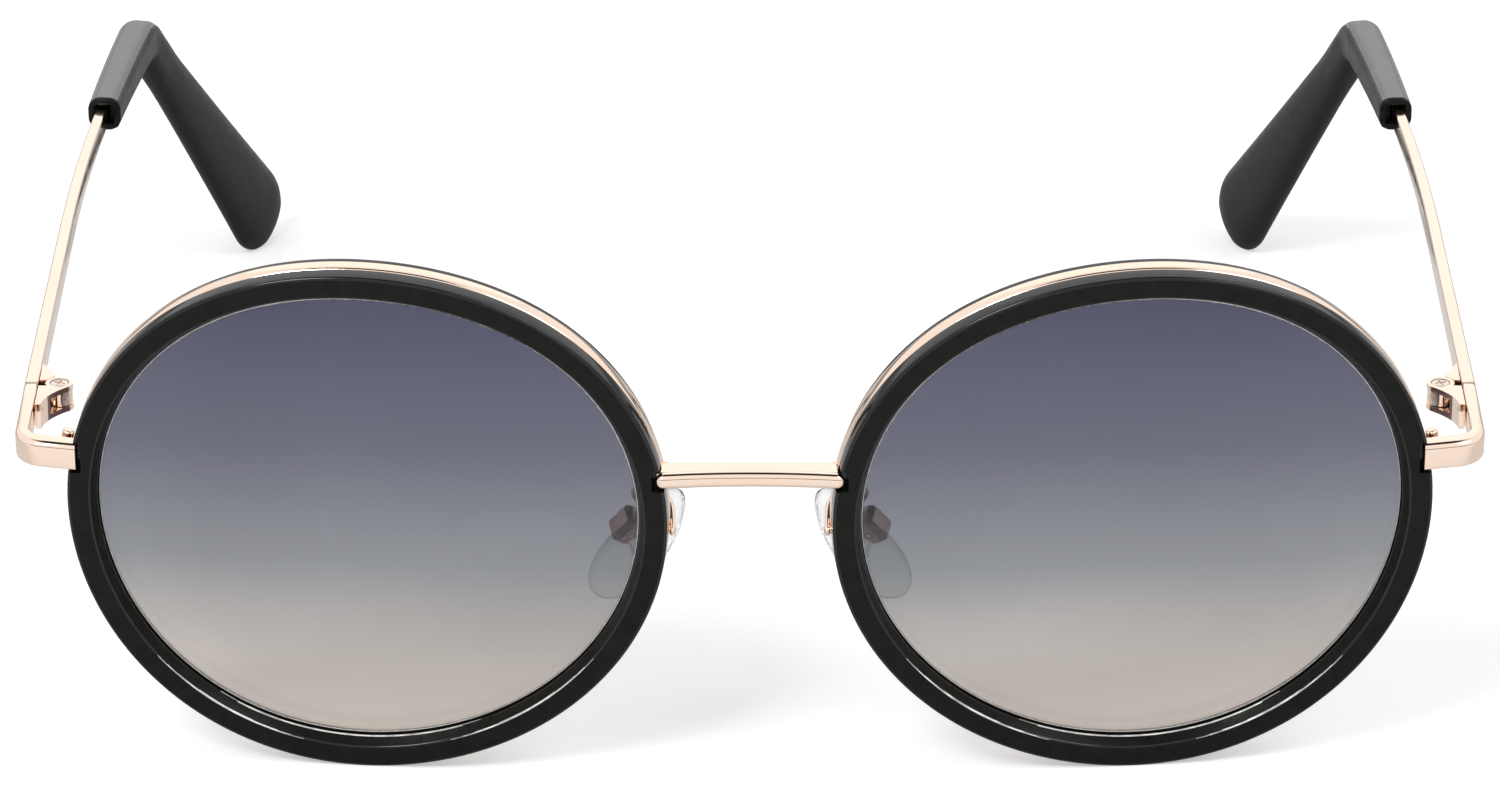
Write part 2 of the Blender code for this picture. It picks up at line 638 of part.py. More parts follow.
def make_bridge():
    face_y = front_point(rim_point(rim_angle_at(HINGE_LINE, -1)), 0.0).y
    bar_y = face_y - BRIDGE_BAR_PROUD + BRIDGE_BAR_DEPTH / 2
    half = bridge_half()
    end_round = BRIDGE_BAR_HEIGHT / 2
    end_steps, middle_steps = 4, 6
    ends = [(half - end_round * (1 - sin(turn)), cos(turn)) for turn in (
        pi / 2 * (1 - (step + 0.4) / end_steps) for step in range(end_steps))]
    flat = [((half - end_round) * (1 - 2 * step / middle_steps), 1.0) for step in range(middle_steps + 1)]
    stations = ends + flat + [(-x, radius) for x, radius in reversed(ends)]
    middle = HINGE_LINE - BRIDGE_BAR_DROP
    path = [(x, bar_y, middle + BRIDGE_ARCH * (1 - (x / half) ** 2)) for x, radius in stations]
    edge = BRIDGE_BAR_DEPTH * BRIDGE_BAR_ROUND_SHARE
    section = rounded_rectangle(BRIDGE_BAR_DEPTH, BRIDGE_BAR_HEIGHT, edge)
    bar = sweep("bridge", path, section, front_frame, radii=[radius for x, radius in stations])
    top = HINGE_LINE + BRIDGE_STRAP_TOP
    strap = block("bridge_strap", (-half, bar_y, top - BRIDGE_STRAP_HEIGHT),
                  (half, bar_y + BRIDGE_STRAP_DEPTH, top), front_frame)
    round_edges(strap, BRIDGE_STRAP_EDGE)
    fit = plate("bridge_strap_fit", rim_path(-EYEWIRE_PROUD - SEAT_GAP),
                -BRIDGE_STRAP_DEPTH - CUT_OVERRUN, CUT_OVERRUN, rim_frame, cutters)
    cut(strap, fit)
    mirror = strap.modifiers.new("Mirror", "MIRROR")
    mirror.use_bisect_axis[0] = True
    mirror.merge_threshold = WELD_DISTANCE
    bake(strap)
    return smooth(join(bar, strap))


def hinge_ear_outline():
    """Seen along the screw: a leaf on the arm that sweeps in to the barrel."""
    face = HINGE_OFFSET - SEAT_GAP
    barrel = arc((0.0, 0.0), BARREL_RADIUS, -asin(EAR_HEEL_GAP / BARREL_RADIUS), BARREL_SWEEP, 16)
    start = barrel[-1]
    lead = Vector((TONGUE_RADIUS, -EAR_SLOT_FRONT))
    tail = Vector((face - EAR_LEAF_THICKNESS, -EAR_LEAF_LENGTH))
    hollow = []
    steps = 7
    for k in range(1, steps + 1):
        t = k / steps
        hollow.append(start * (1 - t) ** 2 + lead * 2 * t * (1 - t) + tail * t ** 2)
    return barrel + hollow + [Vector((face, -EAR_LEAF_LENGTH)), Vector((face, -EAR_HEEL_GAP))]


def make_hinge_ears():
    half = HINGE_HEIGHT / 2
    ears = plate("hinge_ears_left", hinge_ear_outline(), -half, half, hinge_frame)
    gap = half - EAR_THICKNESS
    web = TONGUE_RADIUS + 2 * RUN_GAP
    slot = block("hinge_slot", (-CUT_OVERRUN, -EAR_SLOT_FRONT, -gap), (web, CUT_OVERRUN, gap),
                 hinge_frame, cutters)
    cut(ears, slot)
    bore = HINGE_SCREW_RADIUS + RUN_GAP
    recess = HINGE_HEAD_RADIUS + RUN_GAP
    floor = half - HINGE_HEAD_HEIGHT - SEAT_GAP
    drill = turned("hinge_drill", [
        (0.0, half + CUT_OVERRUN), (recess, half + CUT_OVERRUN), (recess, floor), (bore, floor),
        (bore, -half - CUT_OVERRUN), (0.0, -half - CUT_OVERRUN)], hinge_frame, 16, cutters)
    return smooth(cut(ears, drill))


def make_hinge_tongue():
    """A foot on the strip, with shoulders that clear the ears, and the tab between them."""
    half = HINGE_HEIGHT / 2
    tab_half = half - EAR_THICKNESS - TONGUE_SLACK
    face = HINGE_OFFSET - SEAT_GAP
    clear = BARREL_RADIUS + TONGUE_SHOULDER_GAP
    inner = face - TONGUE_FOOT_REACH
    crest = sqrt(clear ** 2 - inner ** 2)
    waist_x = clear * cos(TONGUE_WAIST)
    waist_y = clear * sin(TONGUE_WAIST)
    foot = plate("hinge_tongue_left", [
        Vector((face, waist_y)), Vector((face, TONGUE_FOOT_LENGTH)), Vector((inner, crest + TONGUE_HEEL)),
        Vector((inner, crest)), Vector((waist_x, waist_y))], -half, half, hinge_frame)
    tab = arc((0.0, 0.0), TONGUE_RADIUS, TONGUE_TAB_START, 2 * pi, 14)
    tab += [Vector((face - EAR_LEAF_THICKNESS, waist_y)), Vector((waist_x, crest)),
            Vector((inner + TONGUE_HEEL, crest + TONGUE_HEEL / 2))]
    tongue = plate("hinge_tab", tab, -tab_half, tab_half, hinge_frame)
    join(foot, tongue)
    bore = HINGE_SCREW_RADIUS + RUN_GAP
    drill = turned("tongue_drill", [
        (0.0, half + CUT_OVERRUN), (bore, half + CUT_OVERRUN), (bore, -half - CUT_OVERRUN),
        (0.0, -half - CUT_OVERRUN)], hinge_frame, 16, cutters)
    return smooth(cut(foot, drill))


def make_hinge_screw():
    half = HINGE_HEIGHT / 2
    under = half - HINGE_HEAD_HEIGHT
    screw = turned("hinge_screw_left", [
        (0.0, half), (HINGE_HEAD_RADIUS - SCREW_EDGE, half), (HINGE_HEAD_RADIUS, half - SCREW_EDGE),
        (HINGE_HEAD_RADIUS, under), (HINGE_SCREW_RADIUS, under), (HINGE_SCREW_RADIUS, -half),
        (0.0, -half)], hinge_frame)
    long, short = HINGE_SCREW_RADIUS, SCREW_SLOT_WIDTH / 2
    for x, y in ((long, short), (short, long)):
        slot = block("hinge_screw_slot", (-x, -y, half - SCREW_SLOT_DEPTH), (x, y, half + CUT_OVERRUN),
                     hinge_frame, cutters)
        cut(screw, slot)
    return smooth(screw)


def heading(pitch, lean):
    """Direction along the temple: pitched down, and leaned in towards the head."""
    return Vector((-sin(lean), cos(lean) * cos(pitch), -cos(lean) * sin(pitch)))


def bend_start():
    return BEND_AT - BEND_RADIUS * tan(BEND_ANGLE / 2)


def drop_start():
    return bend_start() + BEND_RADIUS * BEND_ANGLE


def temple_end():
    return drop_start() + DROP_LENGTH - BEND_RADIUS * tan(BEND_ANGLE / 2)


def temple_ring(reach, section, raised=0.0, shifted=0.0):
    """A section (x outwards, y up) placed on the temple's centre line.

    The reach is measured along the temple from the hinge axis: a straight, a slow curve
    inwards, the bend behind the ear and the drop.
    """
    curved = BEND_AT - TEMPLE_STRAIGHT
    back = min(reach, bend_start())
    share = max(0.0, back - TEMPLE_STRAIGHT) / curved
    point = Vector((HINGE_OFFSET + STRIP_THICKNESS / 2 - TEMPLE_CURVE_IN * share ** 2, back, 0.0))
    lean = atan2(2 * TEMPLE_CURVE_IN * share, curved)
    pitch = min(max(0.0, (reach - back) / BEND_RADIUS), BEND_ANGLE)
    more_lean = (DROP_LEAN - lean) / BEND_ANGLE
    steps = 8
    for step in range(steps):
        part_pitch = pitch * (step + 0.5) / steps
        point += heading(part_pitch, lean + more_lean * part_pitch) * BEND_RADIUS * pitch / steps
    ahead = heading(pitch, lean + more_lean * pitch)
    point += ahead * max(0.0, reach - drop_start())
    side = ahead.cross(Vector((0.0, sin(pitch), cos(pitch)))).normalized()
    turn = Matrix.Rotation(-DROP_TWIST * pitch / BEND_ANGLE, 3, ahead)
    side = turn @ side
    up = side.cross(ahead)
    return [point + side * (x - shifted) + up * (y + raised) for x, y in section]


def stations(start, end, straight_steps, bend_steps, drop_steps):
    """Reaches from start to end, closer together round the bend."""
    spans = ((start, bend_start(), straight_steps), (bend_start(), drop_start(), bend_steps),
             (drop_start(), end, drop_steps))
    reaches = [low + (high - low) * k / steps for low, high, steps in spans for k in range(steps)]
    return reaches + [end]


def core_end():
    return drop_start() + (temple_end() - drop_start()) * CORE_DROP_SHARE


def strip_section(share, gap=0.0):
    return rounded_rectangle(STRIP_THICKNESS * share + 2 * gap, STRIP_HEIGHT * share + 2 * gap,
                             SECTION_EDGE * share)


def make_temple_wire():
    rings = [temple_ring(JOINT_GAP / 2, strip_section(1.0))]
    curve_steps = 4
    for step in range(curve_steps + 1):
        reach = TEMPLE_STRAIGHT + (COLLAR_AT - TEMPLE_STRAIGHT) * step / curve_steps
        share = 1 - (1 - STRIP_END_SHARE) * reach / COLLAR_AT
        rings.append(temple_ring(reach, strip_section(share)))
    rings.append(temple_ring(COLLAR_AT + MOUTH_DEPTH, strip_section(STRIP_END_SHARE)))
    for reach in stations(COLLAR_AT + MOUTH_DEPTH + CORE_STEP, core_end(), 2, 5, 1):
        rings.append(temple_ring(reach, strip_section(CORE_SHARE)))
    return smooth(loft("temple_wire_left", rings, temple_frame))


def tip_section(reach):
    """Outer section of the sleeve: a collar that flares to a flat, round-ended paddle."""
    down = max(0.0, reach - bend_start()) / (temple_end() - bend_start())
    along = min(1.0, (reach - COLLAR_AT) / (bend_start() - COLLAR_AT))
    height = COLLAR_HEIGHT + (TIP_BEND_HEIGHT - COLLAR_HEIGHT) * along
    height += (TIP_PADDLE_HEIGHT - TIP_BEND_HEIGHT) * down
    width = COLLAR_WIDTH + (TIP_DROP_WIDTH - COLLAR_WIDTH) * along
    end_round = TIP_PADDLE_HEIGHT / 2
    left = temple_end() - reach
    if left < end_round:
        past = 1 - left / end_round
        height *= sqrt(1 - past ** 2)
        width *= sqrt(1 - past ** 4)
    edge = min(TIP_EDGE, width * TIP_EDGE_SHARE, height * TIP_EDGE_SHARE)
    return rounded_rectangle(width, height, edge)


def make_temple_tip():
    end_round = TIP_PADDLE_HEIGHT / 2
    reaches = stations(COLLAR_AT, temple_end() - end_round, 2, 6, 3)
    end_steps = 5
    for step in range(1, end_steps + 1):
        turn = TIP_END_TURN * step / end_steps
        reaches.append(temple_end() - end_round * (1 - sin(turn)))
    rings = [temple_ring(reach, tip_section(reach), TIP_RAISE, TIP_SHIFT_IN) for reach in reaches]
    tip = loft("temple_tip_left", rings, temple_frame)
    mouth = rounded_rectangle(COLLAR_WIDTH - 2 * MOUTH_WALL, COLLAR_HEIGHT - 2 * MOUTH_WALL, SECTION_EDGE)
    floor = COLLAR_AT + MOUTH_DEPTH
    bore = strip_section(STRIP_END_SHARE, TIP_BORE_GAP)
    core = strip_section(CORE_SHARE, TIP_BORE_GAP)
    rings = [temple_ring(COLLAR_AT - CORE_STEP, bore), temple_ring(floor + TIP_BORE_GAP, bore)]
    for reach in stations(floor + CORE_STEP + TIP_BORE_GAP, core_end(), 2, 5, 1):
        rings.append(temple_ring(reach, core))
    rings.append(temple_ring(core_end() + TIP_BORE_GAP, core))
    cut(tip, loft("tip_bore", rings, temple_frame, cutters))
    rings = [temple_ring(reach, mouth, TIP_RAISE, TIP_SHIFT_IN) for reach in (COLLAR_AT - CORE_STEP, floor)]
    cut(tip, loft("tip_mouth", rings, temple_frame, cutters))
    return smooth(tip)


def make_pad_arm():
    root = rim_point(ARM_SOLDER_ANGLE, -EYEWIRE_PROUD - SEAT_GAP - ARM_RADIUS * ARM_TIP_SHARE)
    start = front_point(root, ARM_SOLDER_DEPTH)
    seat = -BOX_LENGTH / 2 - SEAT_GAP
    landing = pad_matrix() @ Vector((seat, 0.0, 0.0))
    before = pad_matrix() @ Vector((seat - ARM_LANDING, 0.0, 0.0))
    knots = [start] + [nose_side() + point for point in ARM_ROUTE] + [before, landing]
    per_span = 2
    curve = poly_curve("pad_arm_left", smooth_route(knots, per_span), False)
    for k, knot in enumerate(curve.splines[0].points):
        knot.radius = min(1.0, ARM_TIP_SHARE + (1 - ARM_TIP_SHARE) * k / (2 * per_span))
    curve.bevel_depth = ARM_RADIUS
    curve.bevel_resolution = 2
    curve.use_fill_caps = True
    return smooth(bake(add_object("pad_arm_left", curve, parts, front_frame)))


def pad_matrix():
    """Pose of the pad frame: x down the pad, y along the screw, z to the nose."""
    facing = PAD_FACING.normalized()
    down = (PAD_DOWN - facing * PAD_DOWN.dot(facing)).normalized()
    across = facing.cross(down)
    turn = Matrix((down, across, facing)).transposed()
    return Matrix.Translation(nose_side() + PAD_PIVOT) @ turn.to_4x4()


def make_pad_box():
    half_x, half_y = BOX_LENGTH / 2, BOX_WIDTH / 2
    box = block("pad_box_left", (-half_x, -half_y, -BOX_BELOW), (half_x, half_y, BOX_ABOVE), pad_frame)
    round_edges(box, BOX_EDGE, 1)
    floor = -BOX_BELOW + BOX_WALL
    pocket = block("pad_box_pocket", (-half_x + BOX_WALL, -half_y + BOX_WALL, floor),
                   (half_x - BOX_WALL, half_y - BOX_WALL, BOX_ABOVE + CUT_OVERRUN), pad_frame, cutters)
    cut(box, pocket)
    cut(box, pad_drill("pad_box_drill"))
    return smooth(box, radians(25.0))


def pad_drill(name):
    frame = empty(name + "_frame", pad_frame, (0.0, 0.0, 0.0), (pi / 2, 0.0, 0.0))
    bore = PAD_SCREW_RADIUS + RUN_GAP
    reach = BOX_WIDTH + CUT_OVERRUN
    return turned(name, [(0.0, reach), (bore, reach), (bore, -reach), (0.0, -reach)], frame, 12, cutters)


def make_pad_screw():
    frame = empty("pad_screw_frame_left", pad_frame, (0.0, 0.0, 0.0), (pi / 2, 0.0, 0.0))
    seat = BOX_WIDTH / 2 + SEAT_GAP
    screw = turned("pad_screw_left", [
        (0.0, seat + PAD_HEAD_HEIGHT), (PAD_HEAD_RADIUS - SCREW_EDGE, seat + PAD_HEAD_HEIGHT),
        (PAD_HEAD_RADIUS, seat + PAD_HEAD_HEIGHT - SCREW_EDGE), (PAD_HEAD_RADIUS, seat),
        (PAD_SCREW_RADIUS, seat), (PAD_SCREW_RADIUS, -BOX_WIDTH / 2), (0.0, -BOX_WIDTH / 2)], frame, 12)
    slot = block("pad_screw_slot",
                 (-CUT_OVERRUN, -SCREW_SLOT_WIDTH / 2, seat + PAD_HEAD_HEIGHT - SCREW_SLOT_DEPTH),
                 (CUT_OVERRUN, SCREW_SLOT_WIDTH / 2, seat + PAD_HEAD_HEIGHT + CUT_OVERRUN), frame, cutters)
    return smooth(cut(screw, slot))


def core_blocks(name, grow, collection):
    """The pad's core: a stem in the box and a plate inside the pad, grown on every side."""
    half_x = CORE_STEM_LENGTH / 2 + grow
    half_y = BOX_WIDTH / 2 - BOX_WALL - SEAT_GAP + grow
    floor = -BOX_BELOW + BOX_WALL + CORE_FLOOR_GAP - grow
    low = PAD_STAND_OFF - CORE_PLATE_THICKNESS / 2 - grow
    high = PAD_STAND_OFF + CORE_PLATE_THICKNESS / 2 + grow
    stem = block(name, (-half_x, -half_y, floor), (half_x, half_y, PAD_STAND_OFF), pad_frame, collection)
    half_x = CORE_PLATE_LENGTH / 2 + grow
    half_y = CORE_PLATE_WIDTH / 2 + grow
    wide = block(name + "_plate", (-half_x, -half_y, low), (half_x, half_y, high), pad_frame, collection)
    return join(stem, wide)


def make_pad_core():
    core = core_blocks("pad_core_left", 0.0, parts)
    cut(core, pad_drill("pad_core_drill"))
    return smooth(core)


def make_nose_pad():
    bm = bmesh.new()
    bmesh.ops.create_uvsphere(bm, u_segments=20, v_segments=10, radius=1.0)
    for vertex in bm.verts:
        x, y, z = vertex.co
        edge = sqrt(x * x + y * y)
        flat = edge ** PAD_FULLNESS_SHARE / edge if edge else 1.0
        x, y = x * flat, y * flat
        half_width = PAD_WIDTH / 2 * (1 + PAD_TAPER_SHARE * x)
        vertex.co = Vector((PAD_OFFSET + x * PAD_LENGTH / 2, y * half_width,
                            PAD_STAND_OFF + z * PAD_THICKNESS / 2 - PAD_DISH * (x * x - y * y)))
    pad = add_object("nose_pad_left", mesh_from(bm, "nose_pad_left"), parts, pad_frame)
    cut(pad, core_blocks("nose_pad_pocket", SEAT_GAP, cutters))
    return smooth(pad)


def mirrored(matrix):
    flip = Matrix.Diagonal((-1.0, 1.0, 1.0, 1.0))
    return flip @ matrix @ flip


def mirror_side():
    """Copy every left piece and frame across x = 0."""
    twins = {front_frame: front_frame}
    lefts = [thing for thing in parts.objects if thing.name.endswith("_left")]
    for thing in lefts:
        data = None
        if thing.data:
            data = thing.data.copy()
            data.transform(Matrix.Diagonal((-1.0, 1.0, 1.0, 1.0)))
            data.flip_normals()
        twin = bpy.data.objects.new(thing.name[:-len("left")] + "right", data)
        parts.objects.link(twin)
        twins[thing] = twin
    for thing in lefts:
        twins[thing].parent = twins[thing.parent]
        twins[thing].matrix_basis = mirrored(thing.matrix_basis)


def lowest(prefixes):
    """Lowest world point of the pieces whose names start so, as (y, z)."""
    bpy.context.view_layer.update()
    points = [thing.matrix_world @ vertex.co for thing in parts.objects if thing.type == "MESH"
              and thing.name.startswith(prefixes) for vertex in thing.data.vertices]
    point = min(points, key=lambda p: p.z)
    return point.y, point.z


def stand_up():
    """Lean the front until rims and tips touch the same level, then centre it over z = 0."""
    for _ in range(8):
        rim_y, rim_z = lowest("front_rim")
        tip_y, tip_z = lowest("temple_tip")
        front_frame.rotation_euler.x += atan2(rim_z - tip_z, tip_y - rim_y)
    bpy.context.view_layer.update()
    points = [thing.matrix_world @ vertex.co for thing in parts.objects if thing.type == "MESH"
              for vertex in thing.data.vertices]
    low_y, high_y = min(p.y for p in points), max(p.y for p in points)
    front_frame.location.y -= (low_y + high_y) / 2
    front_frame.location.z -= min(p.z for p in points)
    bpy.context.view_layer.update()


def paint():
    """Each piece gets its own copy of its finish."""
    finishes = {
        "front_rim": (BLACK, 0.32, 0.0, 0.0), "temple_tip": (CHARCOAL, 0.45, 0.0, 0.0),
        "lens": (LENS_TINT, 0.05, 0.0, 0.6), "nose_pad": (CLEAR, 0.12, 0.0, 0.7),
        "pad_core": (CLEAR, 0.2, 0.0, 0.5), "hinge_screw": (STEEL, 0.3, 1.0, 0.0),
        "pad_screw": (STEEL, 0.3, 1.0, 0.0), "rim_lock_screw": (STEEL, 0.3, 1.0, 0.0)}
    for thing in parts.objects:
        if thing.type == "MESH":
            kind = thing.name.rsplit("_", 1)[0]
            colour, roughness, metallic, clear = finishes.get(kind, (ROSE_GOLD, 0.18, 1.0, 0.0))
            thing.data.materials.clear()
            thing.data.materials.append(material(thing.name, colour, roughness, metallic, clear))


clear_scene()
parts = new_collection("sunglasses")
cutters = new_collection("sunglasses_cutters")

front_frame = empty("front_frame", None, (0.0, 0.0, 0.0))
rim_frame = empty("rim_frame_left", front_frame, rim_centre(), (pi / 2, 0.0, WRAP_ANGLE))
hinge_drop = HINGE_ARM * sin(PANTO_ANGLE)
hinge_back = HINGE_BACK - HINGE_ARM * (1 - cos(PANTO_ANGLE))
hinge_place = (outer_side() - STRIP_THICKNESS - HINGE_OFFSET, hinge_back, HINGE_LINE - hinge_drop)
hinge_frame = empty("hinge_frame_left", front_frame, hinge_place, (-PANTO_ANGLE, 0.0, 0.0))
temple_frame = empty("temple_frame_left", hinge_frame, (0.0, 0.0, 0.0))
pad_frame = empty("pad_frame_left", front_frame, (0.0, 0.0, 0.0))
pad_frame.matrix_basis = pad_matrix()

lock = lock_frame()
make_front_rim()
make_eyewire(lock)
make_lens()
make_lock(lock)
make_endpiece()
make_hinge_ears()
make_hinge_tongue()
make_hinge_screw()
make_temple_wire()
make_temple_tip()
make_pad_arm()
make_pad_box()
make_pad_screw()
make_pad_core()
make_nose_pad()
mirror_side()
make_bridge()
stand_up()
paint()
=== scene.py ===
"""Round sunglasses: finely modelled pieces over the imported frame, their finishes, a studio and a camera.

Metres, +Z up. The wearer's left is +X and the back of the head is +Y. The left half is modelled
and then mirrored. Each piece lies where the node that it stands for lies, and repeats its sizes,
apart from finer shapes at the back of the rim, at the bend and end of the tips, and of the pads.
"""

import json
from math import asin, atan2, copysign, cos, pi, radians, sin, sqrt, tan

import bmesh
import bpy
from mathutils import Matrix, Vector, noise


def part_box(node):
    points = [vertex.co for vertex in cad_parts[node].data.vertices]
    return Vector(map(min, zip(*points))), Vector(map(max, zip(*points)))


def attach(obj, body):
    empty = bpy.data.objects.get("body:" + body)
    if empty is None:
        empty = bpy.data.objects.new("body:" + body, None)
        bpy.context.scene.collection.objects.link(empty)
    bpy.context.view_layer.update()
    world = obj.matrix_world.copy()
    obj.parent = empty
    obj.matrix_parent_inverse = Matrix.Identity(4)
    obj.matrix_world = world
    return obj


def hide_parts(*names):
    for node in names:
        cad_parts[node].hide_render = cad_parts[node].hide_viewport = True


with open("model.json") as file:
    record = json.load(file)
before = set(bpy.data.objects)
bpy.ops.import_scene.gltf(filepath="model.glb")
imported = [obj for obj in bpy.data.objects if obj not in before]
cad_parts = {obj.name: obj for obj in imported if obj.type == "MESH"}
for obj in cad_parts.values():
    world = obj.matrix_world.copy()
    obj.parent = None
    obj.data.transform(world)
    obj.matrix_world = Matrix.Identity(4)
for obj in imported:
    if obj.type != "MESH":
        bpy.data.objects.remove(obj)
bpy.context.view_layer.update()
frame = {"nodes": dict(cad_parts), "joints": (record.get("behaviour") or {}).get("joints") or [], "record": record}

MM = 0.001
SIDES = ("left", "right")
MIRROR = Matrix.Diagonal((-1.0, 1.0, 1.0, 1.0))
TURN_STEPS = 48  # round a turned piece
CORNER_STEPS = 5  # round a corner of an outline
SHARP_ANGLE = radians(32.0)  # between faces that meet in a crease

# Clearances
SEAT_GAP = 0.08 * MM
RUN_GAP = 0.06 * MM
OVERRUN = 3.0 * MM
WELD = 0.0005 * MM

# Rim outline
RIM_RADIUS = 29.02 * MM
RIM_OVAL_SHARE = 0.0342
RIM_DROP_SHARE = 0.0128
RIM_NASAL_SHARE = 0.0065
RIM_SQUARE_SHARE = 0.0032
RIM_GAP = 16.39 * MM
WRAP_ANGLE = radians(4.7)
RIM_STEPS = 240
RIM_ANGLES = [2 * pi * k / RIM_STEPS for k in range(RIM_STEPS)]
MOUNT_INSET = 1.2 * MM

# Rim, eyewire and lens sections: insets from the outline, depths from the front face
FACE_WIDTH = 2.3 * MM
FACE_EDGE = 0.3 * MM
FLANGE_DEPTH = 1.8 * MM
EYEWIRE_WIDTH = 1.95 * MM
EYEWIRE_HEIGHT = 0.85 * MM
EYEWIRE_PROUD = 0.05 * MM
EYEWIRE_EDGE = 0.3 * MM
EYEWIRE_CROWN = 0.39 * MM  # round of the band's middle
EYEWIRE_FALL = 0.075 * MM  # from there to its edges
REAR_LIP_DEPTH = 1.1 * MM
REAR_LIP_INSET = 0.35 * MM
REAR_INNER_INSET = 1.7 * MM  # the lip leans away behind the lens
LENS_KEEP = 0.2 * MM  # of the lip behind the lens
INNER_BEVEL = 0.7 * MM
FINE_EDGE = 0.1 * MM
LIP_EDGE = 0.4 * MM  # round of the lip in front of the lens

# Painted highlights, pale lines on the rim's edges: their angles round the ring, and how far they reach
RIM_HIGHLIGHT_SPANS = ((radians(212.0), radians(252.0)), (radians(284.0), radians(322.0)))
RIM_HIGHLIGHT_REACH = 0.1 * MM
RIM_HIGHLIGHT_FADE = radians(14.0)
LIP_HIGHLIGHT_SPAN = (radians(236.0), radians(314.0))

# Lens
LENS_SEAT_DEPTH = 1.5 * MM
LENS_EDGE_THICKNESS = 1.8 * MM
LENS_OVERLAP = 0.5 * MM
LENS_SAG = 1.4 * MM
LENS_EDGE_BEVEL = 0.22 * MM
LENS_BEVEL_DEPTH = 0.44 * MM
LENS_FRONT_GAP = 0.15 * MM
LENS_STEPS = 16  # from the middle to the ground edge
LENS_RINGS = (0.56 * MM, 0.48 * MM, 0.36 * MM)  # in from the edge: chips, a pale line, a dark seam
LENS_RING_SHARE = 0.62  # of these widths at the sides

HINGE_LINE = 6.3 * MM  # height of the hinges and the bridge over the rim centres

# Endpiece
STRIP_HEIGHT = 2.8 * MM
STRIP_THICKNESS = 1.4 * MM
ENDPIECE_ROOT = 1.9 * MM
ENDPIECE_PROUD = 0.35 * MM
ENDPIECE_INSET = 0.6 * MM
ENDPIECE_SWEEP = radians(11.0)
ENDPIECE_CORNER = 3.3 * MM
ENDPIECE_ROUND = 0.65 * MM
ENDPIECE_REACH = 5.2 * MM
HINGE_BACK = 16.2 * MM
HINGE_ARM = 9.0 * MM
PANTO_ANGLE = radians(4.0)
JOINT_GAP = 0.12 * MM
NOTCH_SIDE_GAP = 0.45 * MM
NOTCH_TOP_GAP = 0.2 * MM
NOTCH_BOTTOM_GAP = 0.45 * MM
NOTCH_DEPTH = 1.45 * MM

# Bridge
BRIDGE_LAP = 1.12 * MM
BAR_HEIGHT = 1.58 * MM
BAR_DEPTH = 1.35 * MM
BAR_PROUD = 0.35 * MM
BAR_DROP = 0.22 * MM
BAR_ROUND = 0.6 * MM
BAR_ARCH = 0.3 * MM
STRAP_TOP = 0.48 * MM
STRAP_LAP_SHARE = 0.25  # of the bar's depth, from its middle back to the strap
STRAP_HEIGHT = 1.2 * MM
STRAP_DEPTH = 2.6 * MM
STRAP_EDGE = 0.22 * MM
BRIDGE_NOTCH_HEIGHT = 2.3 * MM
BRIDGE_NOTCH_SIDE_GAP = 0.4 * MM

# Solder beads: radius, and its share along x, y and z
BRIDGE_BEAD = 0.55 * MM
BRIDGE_BEAD_SHARES = (1.0, 1.2, 1.1)
ARM_BEAD = 0.42 * MM
ARM_BEAD_SHARES = (1.0, 1.2, 1.3)
BEAD_LUMP_SHARE = 0.16  # of the radius
BEAD_LUMP_SCALE = 1.4  # of the noise on a bead of radius 1

# Hinge and rim lock
HINGE_OFFSET = 2.12 * MM
HINGE_HEIGHT = 2.7 * MM
HINGE_SCREW_RADIUS = 0.6 * MM
HINGE_HEAD_RADIUS = 0.92 * MM
HINGE_HEAD_HEIGHT = 0.34 * MM
SLOT_WIDTH = 0.26 * MM
SLOT_DEPTH = 0.16 * MM
SCREW_EDGE = 0.1 * MM
SCREW_BULGE_SHARE = 0.3  # of that edge, from its corner to its round
HINGE_SLOTS = (radians(20.0), radians(110.0))
HINGE_EDGE = 0.07 * MM
# Painted shade on the hinge knuckle: its half width along the axis, and which way its shaded faces look
KNUCKLE_SHADE_HALF = 0.95 * MM
KNUCKLE_SHADE_FACING = -0.35  # its dark faces look forwards: their normal's y is less than this
LOCK_RADIUS = 0.62 * MM
LOCK_HEIGHT = 1.25 * MM
LOCK_SPLIT = 0.26 * MM
LOCK_ROUND = 0.26 * MM
LOCK_SCREW_RADIUS = 0.3 * MM
LOCK_SCREW_REACH = 0.8 * MM
LOCK_HEAD_RADIUS = 0.52 * MM
LOCK_HEAD_HEIGHT = 0.3 * MM

# Temple, reaches measured from the hinge axis
TEMPLE_STRAIGHT = 40.0 * MM
TEMPLE_CURVE_IN = 3.3 * MM
BEND_AT = 94.5 * MM
BEND_RADIUS = 3.4 * MM
BEND_ANGLE = radians(56.0)
DROP_LENGTH = 42.0 * MM
DROP_LEAN = radians(17.0)
DROP_TWIST = radians(11.0)
PADDLE_TWIST = radians(10.0)  # more, from the bend to the end
STRIP_END_SHARE = 0.82
CORE_SHARE = 0.62
CORE_DROP_SHARE = 0.7
CORE_STEP = 0.4 * MM
CORE_STEPS = (6, 14, 4)  # along the straight, the bend and the drop
SECTION_EDGE = 0.25 * MM
COLLAR_AT = 72.0 * MM
COLLAR_WIDTH = 3.6 * MM
COLLAR_HEIGHT = 3.7 * MM
COLLAR_LIP = 0.28 * MM
TIP_BEND_HEIGHT = 4.5 * MM
TIP_PADDLE_HEIGHT = 10.5 * MM
TIP_BEND_WIDTH = 4.1 * MM
TIP_DROP_WIDTH = 3.1 * MM
TIP_EDGE = 1.35 * MM
TIP_EDGE_SHARE = 0.47
TIP_STEPS = (16, 24, 14)  # along the straight, the bend and the drop
TIP_CORNER_STEPS = 8
TIP_NARROW_RATE = 5  # the sleeve narrows in the first fifth of the drop
TIP_OVAL_RATE = 4  # and turns oval in the first quarter
TIP_CROWN = 2.3  # power of the oval section, 2 for an ellipse
TIP_END_LENGTH = 5.6 * MM
TIP_END_STEPS = 20
TIP_END_TURN = radians(87.0)
